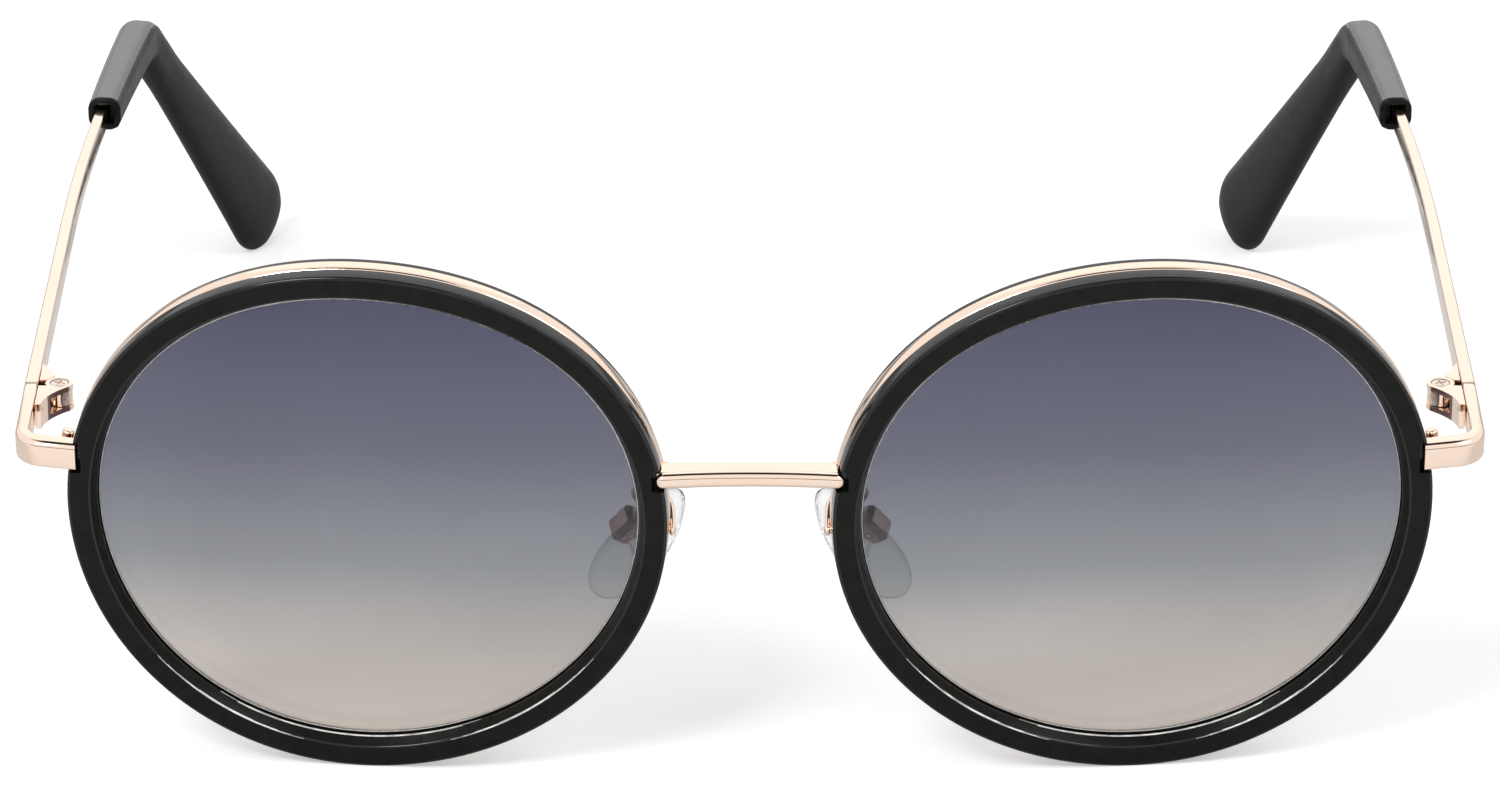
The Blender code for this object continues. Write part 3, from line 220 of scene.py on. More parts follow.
TIP_END_POWER = 2.15  # of the paddle's round end, 2 for a circle
TIP_END_WIDTH_POWER = 4  # the same across it, where it stays full for longer
TIP_RAISE = 0.35 * MM
TIP_SHIFT_IN = 0.25 * MM
TIP_BORE_GAP = 0.15 * MM
MOUTH_WALL = 0.7 * MM
MOUTH_DEPTH = 1.2 * MM
MOUTH_LIP_SHARES = (0.0, 0.35, 0.7, 1.0)  # of a quarter turn, round the lip
PARTING_RIDGE = 0.05 * MM

# Nose pads
PAD_FACING = Vector((-0.72, 0.38, -0.58))
PAD_DOWN = Vector((0.66, 0.09, -0.75))
PAD_LENGTH = 14.6 * MM
PAD_WIDTH = 8.2 * MM
PAD_THICKNESS = 2.1 * MM
PAD_TAPER_SHARE = 0.16
PAD_FULLNESS_SHARE = 0.72
PAD_DISH = 0.45 * MM
PAD_STAND_OFF = 2.9 * MM
PAD_OFFSET = 1.5 * MM
BOX_LENGTH = 3.5 * MM
BOX_WIDTH = 3.0 * MM
BOX_BELOW = 1.4 * MM
BOX_WALL = 0.55 * MM
BOX_EDGE = 0.2 * MM
STEM_LENGTH = 1.5 * MM
STEM_FLOOR_GAP = 0.16 * MM
PLATE_LENGTH = 5.0 * MM
PLATE_WIDTH = 3.4 * MM
PLATE_THICKNESS = 0.5 * MM
PAD_SCREW_RADIUS = 0.36 * MM
PAD_HEAD_RADIUS = 0.62 * MM
PAD_HEAD_HEIGHT = 0.35 * MM
ARM_RADIUS = 0.5 * MM
ARM_TIP_SHARE = 0.5
ARM_SOLDER_ANGLE = radians(181.4)
ARM_SOLDER_DEPTH = 2.6 * MM
ARM_ROUTE = [Vector(point) * MM for point in (
    (-0.3, 2.7, 0.5), (0.7, 4.1, 1.0), (2.2, 5.2, 1.0), (3.2, 6.3, 0.3))]
ARM_LANDING = 1.0 * MM

# View
IMAGE_WIDTH = 1500
FOCAL_PIXELS = 7133.0
VIEW_DISTANCE = 700 * MM
VIEW_TILT = radians(29.0)  # down onto the lens plane
VIEW_HEIGHT = 14.72 * MM  # of the middle of the picture, over the rim centres
VIEW_NEAR = 10 * MM
SENSOR = 36.0

# Studio
FLOOR_SIZE = 3.0
FLOOR_GREY = 0.8
FLOOR_ROUGHNESS = 0.9
FLOOR_GLOW = 0.45  # added where the floor is seen directly or through glass
CARD_GLOW = 0.22  # and where metal mirrors the white card in front of the object
CARD_EDGE = -0.075
CARD_FADE = 0.03
PANEL_STOPS = (  # degrees up from the front horizon, over the top, and brightness
    (0, 0.3), (11, 0.3), (15, 1.0), (172, 1.0), (174, 0.3), (180, 0.3))
ROOF_STOPS = (  # the same for the dark roof between the front and rear lights
    (0, 1.0), (77, 1.0), (81, 0.02), (122, 0.02), (129, 1.0), (180, 1.0))
ROOF_HALF_WIDTH = 0.22  # of the roof, as the sideways part of a direction
ROOF_FADE = 0.11
WORLD_LIGHT = 0.5  # that the world gives the object, where 1 is the white that is seen
LAMP_TARGET = Vector((0.0, 0.0, 0.02))
LAMPS = (  # name, power, size and place
    ("key", 6.0, 0.4, (-0.5, -0.7, 1.0)),
    ("fill", 3.0, 0.6, (0.7, -0.4, 1.0)),
    ("rear", 0.5, 1.0, (0.0, 1.22, 0.62)))

# Tint by height, as the light that passes the whole lens
TINT_STOPS = (
    (0.03, (0.66, 0.60, 0.54)), (0.20, (0.50, 0.46, 0.435)), (0.40, (0.235, 0.245, 0.262)),
    (0.66, (0.112, 0.113, 0.158)), (0.97, (0.052, 0.054, 0.101)))

NOISE_REACH = (0.3, 0.7)  # where most of the noise lies
MIX_FIRST, MIX_SECOND, MIX_RESULT = 6, 7, 2  # colour sockets of a Mix node

scene = bpy.context.scene
looks = {}


class Nodes:
    """Short calls that add nodes to a tree and join them."""

    def __init__(self, tree):
        self.tree = tree

    def put(self, target, value):
        """Link a socket to the target, or set a plain value there."""
        if isinstance(value, bpy.types.NodeSocket):
            self.tree.links.new(value, target)
        else:
            target.default_value = value

    def add(self, kind, inputs=(), **settings):
        node = self.tree.nodes.new(kind)
        for name, value in settings.items():
            setattr(node, name, value)
        for name, value in dict(inputs).items():
            self.put(node.inputs[name], value)
        return node

    def split(self, vector):
        return self.add("ShaderNodeSeparateXYZ", {"Vector": vector}).outputs

    def compute(self, operation, first, second):
        return self.add("ShaderNodeMath", {0: first, 1: second}, operation=operation).outputs[0]

    def range(self, source, start, end, low=0.0, high=1.0):
        """From low at the start to high at the end."""
        ends = {"From Min": start, "From Max": end, "To Min": low, "To Max": high}
        return self.add("ShaderNodeMapRange", {"Value": source, **ends}).outputs["Result"]

    def ramp(self, source, stops):
        node = self.add("ShaderNodeValToRGB", {"Fac": source})
        marks = node.color_ramp.elements
        while len(marks) < len(stops):
            marks.new(0.5)
        for mark, (position, colour) in zip(marks, stops):
            mark.position = position
            mark.color = (*colour, 1.0)
        return node.outputs["Color"]

    def seen(self, *kinds):
        """One for a ray of one of these kinds, zero for the light itself."""
        path = self.add("ShaderNodeLightPath")
        total = path.outputs[kinds[0]]
        for kind in kinds[1:]:
            total = self.compute("MAXIMUM", total, path.outputs[kind])
        return total


class Shader(Nodes):
    """A material with a Principled surface, and short calls that feed it.

    A call's last numbers are its noise: scale, detail and roughness.
    """

    def __init__(self, name, colour, roughness, metallic=0.0, **sockets):
        looks[name] = bpy.data.materials.new(name)
        looks[name].use_nodes = True
        super().__init__(looks[name].node_tree)
        self.surface = self.tree.nodes["Principled BSDF"]
        self.feed("Base Color", (*colour, 1.0))
        self.feed("Roughness", roughness)
        self.feed("Metallic", metallic)
        for socket, value in sockets.items():
            self.feed(socket.replace("_", " "), value)
        self.place = self.add("ShaderNodeTexCoord").outputs["Object"]

    def feed(self, socket, value):
        self.put(self.surface.inputs[socket], value)

    def noise(self, scale, detail=4.0, roughness=0.55):
        return self.add("ShaderNodeTexNoise", {
            "Vector": self.place, "Scale": scale, "Detail": detail, "Roughness": roughness}).outputs["Fac"]

    def spread(self, low, high, *noise):
        """Noise that is stretched to run from low to high."""
        return self.range(self.noise(*noise), *NOISE_REACH, low, high)

    def stir(self, source, amount, *noise):
        """The source, moved up or down by as much as this amount."""
        return self.compute("ADD", source, self.spread(-amount, amount, *noise))

    def blend(self, source, stops):
        self.feed("Base Color", self.ramp(source, stops))

    def tint(self, stops, *noise):
        self.blend(self.noise(*noise), stops)

    def roughen(self, low, high, *noise):
        self.feed("Roughness", self.spread(low, high, *noise))

    def bump(self, distance, strength, *noise):
        node = self.add("ShaderNodeBump", {
            "Distance": distance, "Strength": strength, "Height": self.noise(*noise)})
        self.feed("Normal", node.outputs["Normal"])


look = Shader("rim_plastic", (0.007, 0.0072, 0.0062), 0.3, Specular_IOR_Level=0.14)
look.roughen(0.26, 0.38, 900.0)
look.tint(((0.35, (0.0055, 0.0058, 0.0048)), (0.65, (0.0095, 0.0096, 0.0082))), 700.0, 6.0)
look.bump(0.006 * MM, 0.5, 2600.0, 2.0)

look = Shader("rim_polish", (0.006, 0.0062, 0.0058), 0.1, Specular_IOR_Level=0.42)
look.roughen(0.07, 0.14, 500.0)
look.tint(((0.3, (0.004, 0.0042, 0.004)), (0.7, (0.008, 0.0082, 0.0075))), 260.0)

# Painted highlights: pale lines along the edges of the rim's face and lip
look = Shader("rim_painted_highlight", (0.6, 0.6, 0.58), 0.2, Specular_IOR_Level=0.8)
look.tint(((0.35, (0.4, 0.4, 0.39)), (0.6, (0.94, 0.94, 0.92))), 600.0)
look.roughen(0.12, 0.3, 900.0)

look = Shader("rose_gold", (0.965, 0.765, 0.63), 0.1, 1.0)
look.roughen(0.07, 0.14, 500.0, 6.0)
look.tint(((0.3, (0.96, 0.755, 0.615)), (0.7, (0.97, 0.78, 0.65))), 90.0)
look.bump(0.002 * MM, 0.3, 2200.0, 3.0)

look = Shader("screw_metal", (0.80, 0.68, 0.60), 0.16, 1.0)
look.roughen(0.1, 0.26, 1500.0, 5.0)
look.bump(0.004 * MM, 0.5, 3500.0, 2.0)

look = Shader("pad_metal", (0.60, 0.43, 0.42), 0.13, 1.0)
look.roughen(0.1, 0.24, 1100.0, 5.0)
look.tint(((0.3, (0.52, 0.36, 0.36)), (0.7, (0.68, 0.49, 0.47))), 420.0)
look.bump(0.01 * MM, 0.5, 900.0, 3.0)

# Painted shade: a darker rose metal for the front of the hinge knuckle
look = Shader("knuckle_painted_shade", (0.20, 0.125, 0.12), 0.25, 1.0)
look.tint(((0.35, (0.13, 0.08, 0.078)), (0.65, (0.30, 0.19, 0.175))), 700.0, 5.0)
look.roughen(0.18, 0.34, 1300.0)
look.bump(0.01 * MM, 0.5, 1600.0, 3.0)

look = Shader("lens_tint", TINT_STOPS[2][1], 0.0, IOR=1.5, Specular_IOR_Level=0.25,
              Transmission_Weight=1.0)
low, high = (corner.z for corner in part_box("lens_left"))
rise = look.range(look.split(look.place)["Z"], low, high)
look.blend(look.stir(rise, 0.01, 45.0, 2.0), TINT_STOPS)

look = Shader("lens_edge", (0.92, 0.90, 0.87), 0.3)
look.tint(((0.3, (0.74, 0.72, 0.70)), (0.6, (0.96, 0.94, 0.92))), 1300.0, 5.0, 0.7)
look.roughen(0.2, 0.5, 1300.0, 5.0, 0.7)

look = Shader("lens_chips", (0.4, 0.38, 0.36), 0.4)
look.tint(((0.46, (0.03, 0.028, 0.026)), (0.54, (0.25, 0.23, 0.21)), (0.64, (0.8, 0.78, 0.75))),
          1900.0, 6.0, 0.8)
look.bump(0.05 * MM, 0.8, 1800.0, 5.0)

# Charcoal with a painted sheen: paler on what faces upwards
look = Shader("tip_plastic", (0.014, 0.014, 0.0128), 0.36, Specular_IOR_Level=0.2)
look.roughen(0.32, 0.42, 800.0)
# The painted sheen follows how far each face looks upwards
upward = look.split(look.add("ShaderNodeNewGeometry").outputs["Normal"])["Z"]
look.blend(look.stir(upward, 0.03, 600.0, 6.0), (
    (0.15, (0.008, 0.008, 0.0074)), (0.42, (0.03, 0.03, 0.0285)), (0.6, (0.14, 0.14, 0.137)),
    (0.74, (0.38, 0.38, 0.37)), (0.86, (0.2, 0.2, 0.196)), (1.0, (0.26, 0.26, 0.255))))
look.bump(0.008 * MM, 0.5, 3000.0, 2.0)

look = Shader("pad_silicone", (0.985, 0.99, 0.99), 0.04, IOR=1.1, Transmission_Weight=0.93,
              Coat_Weight=0.6, Coat_IOR=1.4, Coat_Roughness=0.06)
# Painted shade: the clear pad turns grey where it is seen edge-on
facing = look.add("ShaderNodeLayerWeight", {"Blend": 0.6}).outputs["Facing"]
look.blend(facing, ((0.1, (0.98, 0.985, 0.98)), (0.5, (0.87, 0.885, 0.885)), (0.9, (0.52, 0.54, 0.55))))
look.roughen(0.02, 0.07, 300.0)
look.bump(0.02 * MM, 0.4, 260.0, 2.0)

look = Shader("pad_insert", (0.97, 0.975, 0.975), 0.08, IOR=1.12, Transmission_Weight=1.0)
look.roughen(0.05, 0.12, 500.0)


def skin(rings, loop=False, paint=None):
    """A skin through rings of equal count, joined end to end or closed by a fan at each end."""
    bm = bmesh.new()
    loops = [[bm.verts.new(point) for point in ring] for ring in rings]
    count = len(loops[0])
    pairs = list(zip(loops, loops[1:]))
    if loop:
        pairs.append((loops[-1], loops[0]))
    for row, (lower, upper) in enumerate(pairs):
        for k in range(count):
            face = bm.faces.new((lower[k], lower[(k + 1) % count], upper[(k + 1) % count], upper[k]))
            if paint:
                face.material_index = paint(row, k)
    for ring in () if loop else (loops[0], loops[-1]):
        middle = bm.verts.new(sum((knot.co for knot in ring), Vector()) / count)
        for k in range(count):
            bm.faces.new((middle, ring[k], ring[(k + 1) % count]))
    return bm


def link_new(name, data):
    thing = bpy.data.objects.new(name, data)
    scene.collection.objects.link(thing)
    return thing


def build(name, bm, place, *finishes):
    """A new object from the bmesh, moved to its place, with its finishes or in rose gold."""
    bmesh.ops.recalc_face_normals(bm, faces=bm.faces)
    bm.transform(place)
    mesh = bpy.data.meshes.new(name)
    bm.to_mesh(mesh)
    bm.free()
    for finish in finishes or ("rose_gold",):
        mesh.materials.append(looks[finish])
    return link_new(name, mesh)


def modify(thing, kind, **settings):
    """Give the object the mesh that this modifier makes of it."""
    modifier = thing.modifiers.new("shape", kind)
    for name, value in settings.items():
        setattr(modifier, name, value)
    bpy.context.view_layer.update()
    graph = bpy.context.evaluated_depsgraph_get()
    mesh = bpy.data.meshes.new_from_object(thing.evaluated_get(graph))
    thing.modifiers.clear()
    thing.data = mesh
    return thing


def combine(thing, other, operation):
    modify(thing, "BOOLEAN", operation=operation, object=other)
    bpy.data.objects.remove(other, do_unlink=True)
    return thing


def soften(thing, width, segments=3, angle=radians(40.0)):
    """Round the sharp edges."""
    return modify(thing, "BEVEL", width=width, segments=segments, limit_method="ANGLE", angle_limit=angle)


def ready(thing, node, body, sharp):
    """Shade the piece, and let it ride on its body in place of its node, if it has one."""
    thing.data.shade_smooth()
    thing.data.set_sharp_from_angle(angle=sharp)
    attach(thing, body)
    if node:
        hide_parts(node)


def finish_pair(thing, node=None, body="front", sharp=SHARP_ANGLE):
    """Mirror the left piece and finish both. The front carries its pieces on both sides."""
    twin = link_new(thing.name + "_right", thing.data.copy())
    thing.name += "_left"
    twin.data.transform(MIRROR)
    twin.data.flip_normals()
    for side, piece in zip(SIDES, (thing, twin)):
        ready(piece, node and f"{node}_{side}", body if body == "front" else f"{body}_{side}", sharp)


def box(name, low, high, place, *finishes):
    low, high = Vector(low), Vector(high)
    bm = bmesh.new()
    bmesh.ops.create_cube(bm, size=1.0)
    bm.transform(Matrix.Translation((low + high) / 2) @ Matrix.Diagonal((*(high - low), 1.0)))
    return build(name, bm, place, *finishes)


def cut(thing, low, high, place, *finishes):
    """Take a box away from the thing."""
    return combine(thing, box("cutter", low, high, place, *finishes), "DIFFERENCE")


def spaced(start, end, steps):
    """Even steps from the start to the end, both included."""
    return [start + (end - start) * k / steps for k in range(steps + 1)]


def circles(profile):
    """Rings round the z axis, one for each (radius, height) point."""
    turns = spaced(0.0, 2 * pi, TURN_STEPS)[:-1]
    return [[Vector((radius * cos(turn), radius * sin(turn), height)) for turn in turns]
            for radius, height in profile]


def turned(name, profile, place, *finishes):
    """A profile of (radius, height) points turned about the z axis, with a flat end over each end ring."""
    return build(name, skin(circles(profile)), place, *finishes)


def corners(points):
    """An outline of (x, y, round) corners, each drawn as a soft curve."""
    outline = []
    count = len(points)
    for k, (x, y, size) in enumerate(points):
        corner = Vector((x, y))
        if not size:
            outline.append(corner)
            continue
        before = Vector(points[k - 1][:2])
        after = Vector(points[(k + 1) % count][:2])
        start = corner + (before - corner).normalized() * size
        end = corner + (after - corner).normalized() * size
        for t in spaced(0.0, 1.0, CORNER_STEPS):
            outline.append(start * (1 - t) ** 2 + corner * 2 * t * (1 - t) + end * t ** 2)
    return outline


def rounded_rectangle(width, height, edge, corner_steps=6):
    points = []
    for quarter, (right, top) in enumerate(((1, 1), (-1, 1), (-1, -1), (1, -1))):
        middle = Vector((right * (width / 2 - edge), top * (height / 2 - edge)))
        for share in spaced(0.0, 1.0, corner_steps):
            turn = (quarter + share) * pi / 2
            points.append(middle + Vector((cos(turn), sin(turn))) * edge)
    return points


def arc(middle, radius, start, end, steps):
    return [Vector((middle[0] + radius * cos(turn), middle[1] + radius * sin(turn)))
            for turn in spaced(start, end, steps)]


def rim_radius(angle):
    return RIM_RADIUS * (1 + RIM_OVAL_SHARE * cos(2 * angle) + RIM_DROP_SHARE * sin(3 * angle)
                         - RIM_NASAL_SHARE * cos(3 * angle) - RIM_SQUARE_SHARE * cos(4 * angle))


def rim_normal(angle):
    step = radians(0.01)
    slope = (rim_radius(angle + step) - rim_radius(angle - step)) / (2 * step)
    along = Vector((cos(angle), sin(angle)))
    across = Vector((-sin(angle), cos(angle)))
    return (along * rim_radius(angle) - across * slope).normalized()


def rim_point(angle, inset=0.0):
    return Vector((cos(angle), sin(angle))) * rim_radius(angle) - rim_normal(angle) * inset


def rim_angle_at(height, side):
    """Angle of the outline at a height over the centre, on the temple side (1) or nose side (-1)."""
    angle = 0.0
    rounds = 12
    for _ in range(rounds):
        tilt = asin(height / rim_radius(angle))
        angle = tilt if side > 0 else pi - tilt
    return angle


nose_side = Vector((RIM_GAP / 2, 0.0, 0.0))
rim_centre = nose_side + Vector((rim_radius(pi) * cos(WRAP_ANGLE), 0.0, 0.0))
outer_side = rim_centre.x + rim_radius(0.0) * cos(WRAP_ANGLE) + ENDPIECE_REACH


def front_point(rim_xy, depth):
    across, up = rim_xy
    return Vector((rim_centre.x + across * cos(WRAP_ANGLE) - depth * sin(WRAP_ANGLE),
                   across * sin(WRAP_ANGLE) + depth * cos(WRAP_ANGLE), up))


def rim_ring(section):
    """A section of (inset, depth) points carried round the rim."""
    return [[Vector((*rim_point(angle, inset), -depth)) for inset, depth in section] for angle in RIM_ANGLES]


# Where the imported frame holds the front, the hinges and the pads
mounts = {mount["name"]: mount for mount in frame["record"]["mounts"]}
face = Vector(mounts["rim_face_left"]["pos_m"])
face_normal = Vector(mounts["rim_face_left"]["axis"])
front_lean = atan2(-face_normal.z, -face_normal.y)
front_turn = Matrix.Rotation(front_lean, 4, "X")
front_origin = face - front_turn @ front_point(rim_point(pi / 2, MOUNT_INSET), 0.0)
front = Matrix.Translation(front_origin) @ front_turn
rim_frame = (front @ Matrix.Translation(rim_centre) @ Matrix.Rotation(WRAP_ANGLE, 4, "Z")
             @ Matrix.Rotation(pi / 2, 4, "X"))
pivots = {joint["name"]: Vector(joint["pos_m"]) for joint in frame["joints"]}
hinge = Matrix.Translation(pivots["temple_fold_left"]) @ Matrix.Rotation(front_lean - PANTO_ANGLE, 4, "X")


# The pad's own frame: x down the pad, y along its screw, z to the nose
pad_facing = PAD_FACING.normalized()
pad_down = (PAD_DOWN - pad_facing * PAD_DOWN.dot(pad_facing)).normalized()
pad_turn = Matrix((pad_down, pad_facing.cross(pad_down), pad_facing)).transposed().to_4x4()
pad = Matrix.Translation(pivots["pad_rock_left"]) @ front_turn @ pad_turn


def highlight_share(angle, *spans):
    """How far a painted highlight along these spans reaches at an angle: 1 inside, 0 or less outside."""
    inside = max(min(angle - low, high - angle) for low, high in spans)
    return min(1.0, inside / RIM_HIGHLIGHT_FADE)


def make_rim():
    back = FLANGE_DEPTH + EYEWIRE_WIDTH
    depth = back + REAR_LIP_DEPTH
    inner = FACE_WIDTH + INNER_BEVEL
    groove = inner - LENS_OVERLAP
    lens_back = LENS_SEAT_DEPTH + LENS_FRONT_GAP * 2 + LENS_EDGE_THICKNESS
    section = corners([
        (0.0, 0.0, FACE_EDGE), (FACE_WIDTH, 0.0, FACE_EDGE / 2), (inner, LENS_SEAT_DEPTH, LIP_EDGE),
        (groove, LENS_SEAT_DEPTH, 0.0), (groove, lens_back, 0.0), (groove + LENS_KEEP, lens_back, FINE_EDGE),
        (REAR_INNER_INSET, depth, FACE_EDGE / 2), (REAR_LIP_INSET, depth, FACE_EDGE),
        (REAR_LIP_INSET, back, FINE_EDGE), (EYEWIRE_HEIGHT, back, 0.0), (EYEWIRE_HEIGHT, FLANGE_DEPTH, 0.0),
        (0.0, FLANGE_DEPTH, FINE_EDGE)])
    satin, polished, pale = range(3)

    def polish(row, k):
        """Satin on the front face and its bevel, polished elsewhere, and pale painted highlights along its edges.
        """
        start, end = section[k], section[(k + 1) % len(section)]
        angle = RIM_ANGLES[row]
        # Painted highlights: pale lines on the face's inner edge and on the lip in front of the lens
        reach = RIM_HIGHLIGHT_REACH * highlight_share(angle, *RIM_HIGHLIGHT_SPANS)
        if abs(start.x - FACE_WIDTH) < RIM_HIGHLIGHT_REACH and start.y < reach:
            return pale
        reach = LIP_EDGE * highlight_share(angle, LIP_HIGHLIGHT_SPAN)
        if abs(start.x - inner) < LIP_EDGE and abs(start.y - LENS_SEAT_DEPTH) < reach and start != end:
            return pale
        flat = (end - start).length > INNER_BEVEL
        return satin if flat and min(start.y, end.y) < FACE_EDGE and start.x != 0.0 else polished

    rim = build("rim_moulding", skin(rim_ring(section), True, polish), rim_frame,
                "rim_plastic", "rim_polish", "rim_painted_highlight")
    side = rim_point(rim_angle_at(HINGE_LINE, 1)).x
    half = STRIP_HEIGHT / 2
    cut(rim, (side - ENDPIECE_INSET - NOTCH_SIDE_GAP, HINGE_LINE - half - NOTCH_BOTTOM_GAP, -NOTCH_DEPTH),
        (side + OVERRUN, HINGE_LINE + half + NOTCH_TOP_GAP, OVERRUN), rim_frame, "rim_polish")
    side = rim_point(rim_angle_at(HINGE_LINE, -1)).x
    bar_end = (RIM_GAP / 2 + BRIDGE_LAP + BRIDGE_NOTCH_SIDE_GAP - rim_centre.x) / cos(WRAP_ANGLE)
    middle = HINGE_LINE - BAR_DROP
    half = BRIDGE_NOTCH_HEIGHT / 2
    cut(rim, (side - OVERRUN, middle - half, -NOTCH_DEPTH), (bar_end, middle + half, OVERRUN),
        rim_frame, "rim_polish")
    finish_pair(rim, "front_rim")


def lock_frame():
    """The rim lock's own frame: x out from the rim, z up along its barrel."""
    angle = rim_angle_at(HINGE_LINE, 1)
    seat = rim_point(angle, -EYEWIRE_PROUD - SEAT_GAP - LOCK_RADIUS)
    normal = rim_normal(angle)
    place = Matrix.Translation((*seat, -(FLANGE_DEPTH + EYEWIRE_WIDTH / 2 + SEAT_GAP)))
    return (rim_frame @ place @ Matrix.Rotation(atan2(normal.y, normal.x), 4, "Z")
            @ Matrix.Rotation(-pi / 2, 4, "X"))


def make_eyewire():
    front_side = FLANGE_DEPTH + SEAT_GAP
    back_side = FLANGE_DEPTH + EYEWIRE_WIDTH - SEAT_GAP
    floor = EYEWIRE_HEIGHT - SEAT_GAP
    shoulder = EYEWIRE_FALL - EYEWIRE_PROUD
    middle = (front_side + back_side) / 2
    section = corners([
        (shoulder, front_side, EYEWIRE_EDGE), (floor, front_side, FINE_EDGE), (floor, back_side, FINE_EDGE),
        (shoulder, back_side, EYEWIRE_EDGE), (-EYEWIRE_PROUD, middle, EYEWIRE_CROWN)])
    wire = build("eyewire_ring", skin(rim_ring(section), True), rim_frame)
    cut(wire, (-OVERRUN - LOCK_RADIUS, -OVERRUN, -LOCK_SPLIT / 2), (OVERRUN, OVERRUN, LOCK_SPLIT / 2),
        lock_frame())
    finish_pair(wire, "eyewire")


def make_lens():
    edge_inset = FACE_WIDTH + INNER_BEVEL - LENS_OVERLAP + SEAT_GAP
    front_side = LENS_SEAT_DEPTH + LENS_FRONT_GAP
    back_side = front_side + LENS_EDGE_THICKNESS
    face_inset = edge_inset + LENS_EDGE_BEVEL
    ground = [1 - width / RIM_RADIUS for width in LENS_RINGS]
    shares = [k / LENS_STEPS for k in range(1, LENS_STEPS)] + ground + [1.0]

    def ring(share, inset, depth):
        points = []
        for angle in RIM_ANGLES:
            narrow = LENS_RING_SHARE + (1 - LENS_RING_SHARE) * sin(angle) ** 2
            own = 1 - (1 - share) * narrow if share >= ground[0] else share
            points.append(Vector((*(rim_point(angle, inset) * own), LENS_SAG * (1 - own * own) - depth)))
        return points

    rings = [ring(share, face_inset, back_side) for share in shares]
    rings.append(ring(1.0, edge_inset, back_side - LENS_BEVEL_DEPTH))
    rings.append(ring(1.0, edge_inset, front_side + LENS_BEVEL_DEPTH))
    rings += [ring(share, face_inset, front_side) for share in reversed(shares)]
    first_edge = len(shares) - 1
    clear, pale, chips, seam = range(4)
    edge_finishes = (pale, pale, pale, seam, pale, chips)

    def finish(row, k):
        """The ground edge is pale. On the front, a dark seam, a fine pale line and chips lie beside it."""
        past = row - first_edge
        return edge_finishes[past] if 0 <= past < len(edge_finishes) else clear

    lens = build("tinted_lens", skin(rings, False, finish), rim_frame,
                 "lens_tint", "lens_edge", "lens_chips", "rim_plastic")
    finish_pair(lens, "lens")


def screw_pair(name, node, place, shaft, bottom, head, under, top, long, *turns):
    """Screws along z on both sides, heads uppermost, with slots of half length long at these turns.

    shaft and head are radii. bottom, under and top are the heights of the end and of the head's faces.
    """
    bulge = SCREW_EDGE * SCREW_BULGE_SHARE
    piece = turned(name, [
        (head - SCREW_EDGE, top), (head - bulge, top - bulge), (head, top - SCREW_EDGE),
        (head, under), (shaft, under), (shaft, bottom + SCREW_EDGE), (shaft - SCREW_EDGE, bottom)],
        place, "screw_metal")
    short = SLOT_WIDTH / 2
    for turn in turns:
        cut(piece, (-long, -short, top - SLOT_DEPTH), (long, short, top + OVERRUN),
            place @ Matrix.Rotation(turn, 4, "Z"), "screw_metal")
    finish_pair(piece, node)


def make_lock():
    place = lock_frame()
    gap = LOCK_SPLIT / 2
    bore = LOCK_SCREW_RADIUS + RUN_GAP
    roof = gap + LOCK_SCREW_REACH + SEAT_GAP
    top = gap + LOCK_HEIGHT
    dome = [(LOCK_RADIUS - LOCK_ROUND + LOCK_ROUND * sin(turn), top - LOCK_ROUND + LOCK_ROUND * cos(turn))
            for turn in spaced(0.0, pi / 2, steps=6)]
    upper = turned("lock_barrel_upper", dome + [
        (LOCK_RADIUS, gap + FINE_EDGE), (LOCK_RADIUS - FINE_EDGE, gap), (bore, gap), (bore, roof)],
        place)
    finish_pair(upper, "rim_lock_upper")
    edge = FINE_EDGE
    sleeve = [(LOCK_RADIUS - edge, -gap), (LOCK_RADIUS, -gap - edge), (LOCK_RADIUS, edge - top),
              (LOCK_RADIUS - edge, -top), (bore, -top), (bore, -gap)]
    lower = build("lock_barrel_lower", skin(circles(sleeve), True), place)
    finish_pair(lower, "rim_lock_lower")
    seat = top + SEAT_GAP
    over = place @ Matrix.Rotation(pi, 4, "X")
    screw_pair("lock_screw", "rim_lock_screw", over, LOCK_SCREW_RADIUS, -gap - LOCK_SCREW_REACH,
               LOCK_HEAD_RADIUS, seat, seat + LOCK_HEAD_HEIGHT, OVERRUN, 0.0)


def strip_profile(thickness, top_round):
    """Section of the front strip as (inwards, up), from the middle of its outer face."""
    half = STRIP_HEIGHT / 2
    edge = SECTION_EDGE
    top_steps, edge_steps = 10, 5
    return (arc((top_round, half - top_round), top_round, pi, pi / 2, top_steps)
            + arc((thickness - edge, half - edge), edge, pi / 2, 0.0, edge_steps)
            + arc((thickness - edge, edge - half), edge, 0.0, -pi / 2, edge_steps)
            + arc((edge, edge - half), edge, -pi / 2, -pi, edge_steps))


